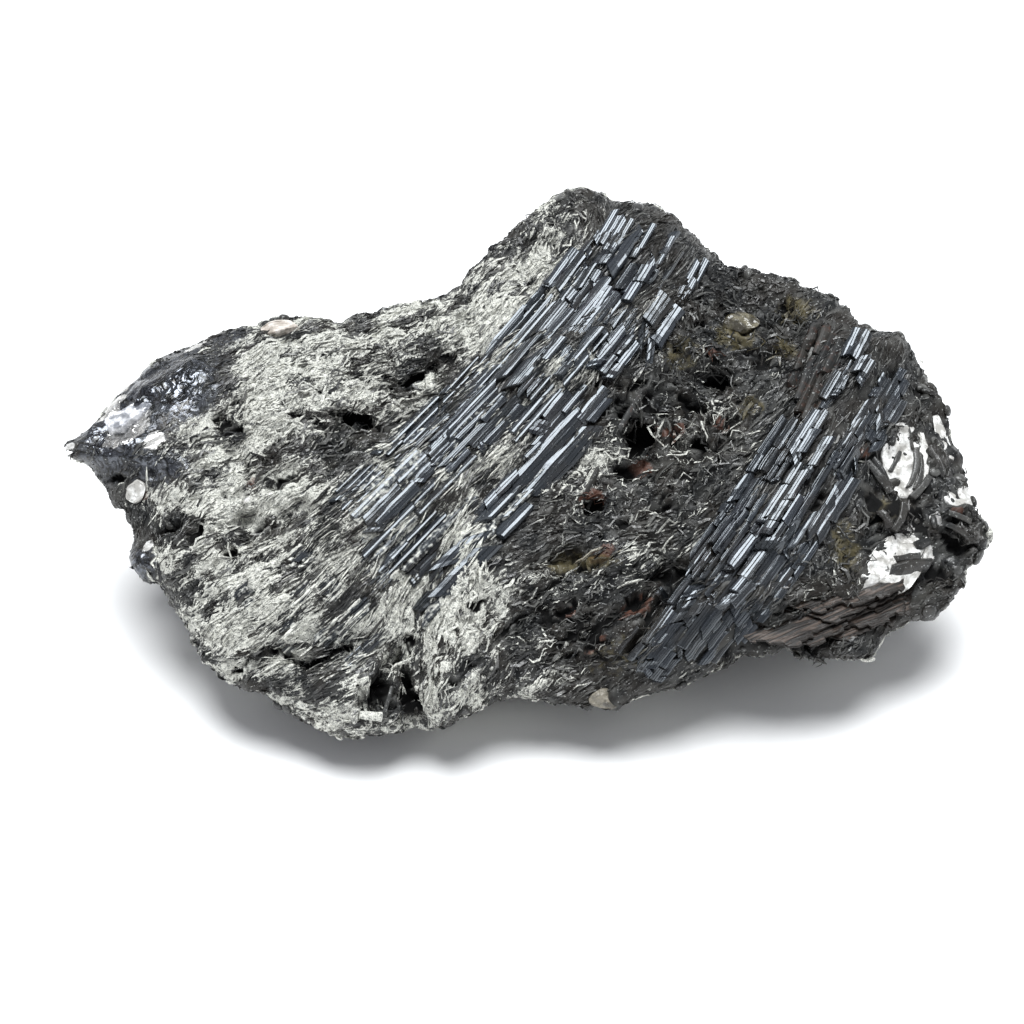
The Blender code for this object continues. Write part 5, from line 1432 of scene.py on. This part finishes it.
def micaLook():
    # taupe leaves with near-black streaks along the grain and darkened front edges, both painted shade of the
    # gaps between leaves
    look = Look("brown_mica", IOR=1.58, Specular_IOR_Level=0.25)
    mottle, fine, streak = look.noise(1.0, 3.0), look.noise(0.2, 3.0), look.streak(0.28, 3.2, 3.0)
    # near-black streaks along the grain and darkened front edges, flecked by noise: painted shade of the gaps
    # between leaves
    colour = look.mix(streak.between(0.40, 0.54), ledgeLook["leaf"], ledgeLook["gap"])
    edgeShadeAndFlecks = look.attribute("edge") * 0.95 + (fine - 0.5) * 0.8 + (mottle - 0.5) * 0.6 + (streak - 0.5) * 0.8
    colour = look.mix(edgeShadeAndFlecks.between(0.30, 0.66), colour, ledgeLook["torn"])
    return look.finish(colour, look.blend(fine, 0.3, 0.5), [(streak, 0.22), (fine, 0.03)])


leaves = [leafForm(row, seed) for seed, row in enumerate(ledgeLook["leaves"])]
starts = np.cumsum([0] + [len(leaf[0]) for leaf in leaves])
points, edge, grain = (np.concatenate([leaf[field] for leaf in leaves]) for field in (0, 3, 4))
walls, caps = (np.concatenate([leaf[field] + at for leaf, at in zip(leaves, starts)]) for field in (1, 2))
ledge = putMesh("mica_leaves", points, [walls, caps], {"edge": edge, "grain": grain})
finishPiece(ledge, micaLook(), ["mica_ledge"])

studio = {
    "sky": {"zenith": (0.30, 0.31, 0.335, 1), "horizon": (1.10, 1.10, 1.10, 1), "from": 0.10, "to": 0.42},
    "lamp": {"angle": 42, "energy": 4.9, "color": (0.97, 0.99, 1.0)}, "lampHeight": 0.6,  # in metres
    "floor": {"half": 6.0, "colour": rgb(0.95, 0.95, 0.95)},
    "camera": {"lens": 85, "sensor_width": 36, "clip_start": 0.01},
}


def makeFloor():
    # a square sheet of matt paper, far wider than the stone
    mesh = bpy.data.meshes.new("floor")
    half = studio["floor"]["half"]
    mesh.from_pydata([(-half, -half, 0), (half, -half, 0), (half, half, 0), (-half, half, 0)], [],
                     [(0, 1, 2, 3)])
    look = Look("floor_paper", Roughness=0.95, Specular_IOR_Level=0.0, Base_Color=studio["floor"]["colour"])
    mesh.materials.append(look.material)
    putObject("floor", mesh)


def makeLight():
    # a sky that darkens from the horizon to the zenith, and one wide lamp overhead
    world = bpy.data.worlds.new("studio")
    world.use_nodes = True
    nodes, row = Nodes(world.node_tree), studio["sky"]
    height = nodes.node("ShaderNodeSeparateXYZ", {},
                        {0: nodes.node("ShaderNodeTexCoord", {}, {}, "Generated")}, "Z")
    sky = nodes.mix(height.between(row["from"], row["to"]), row["horizon"], row["zenith"])
    nodes.feed("Background", "Color", sky)
    bpy.context.scene.world = world
    data, row = bpy.data.lights.new("overhead_softbox", "SUN"), studio["lamp"]
    data.angle, data.energy, data.color = math.radians(row["angle"]), row["energy"], row["color"]
    lamp = putObject("overhead_softbox", data)
    lamp.location = (0, 0, studio["lampHeight"])
    lamp.rotation_euler = (-math.radians(lampTilt), 0, 0)


def makeCamera():
    # looks straight at the board from the front eye
    data = bpy.data.cameras.new("camera")
    for key, value in studio["camera"].items():
        setattr(data, key, value)
    camera = putObject("camera", data)
    matrix = np.eye(4)
    matrix[:3] = np.stack([across, up, out, frontEye * mm], 1)
    camera.matrix_world = Matrix(matrix)
    bpy.context.scene.camera = camera


makeFloor()
makeLight()
makeCamera()
bpy.context.scene.view_settings.view_transform = "Standard"
print("floor, light and camera placed")
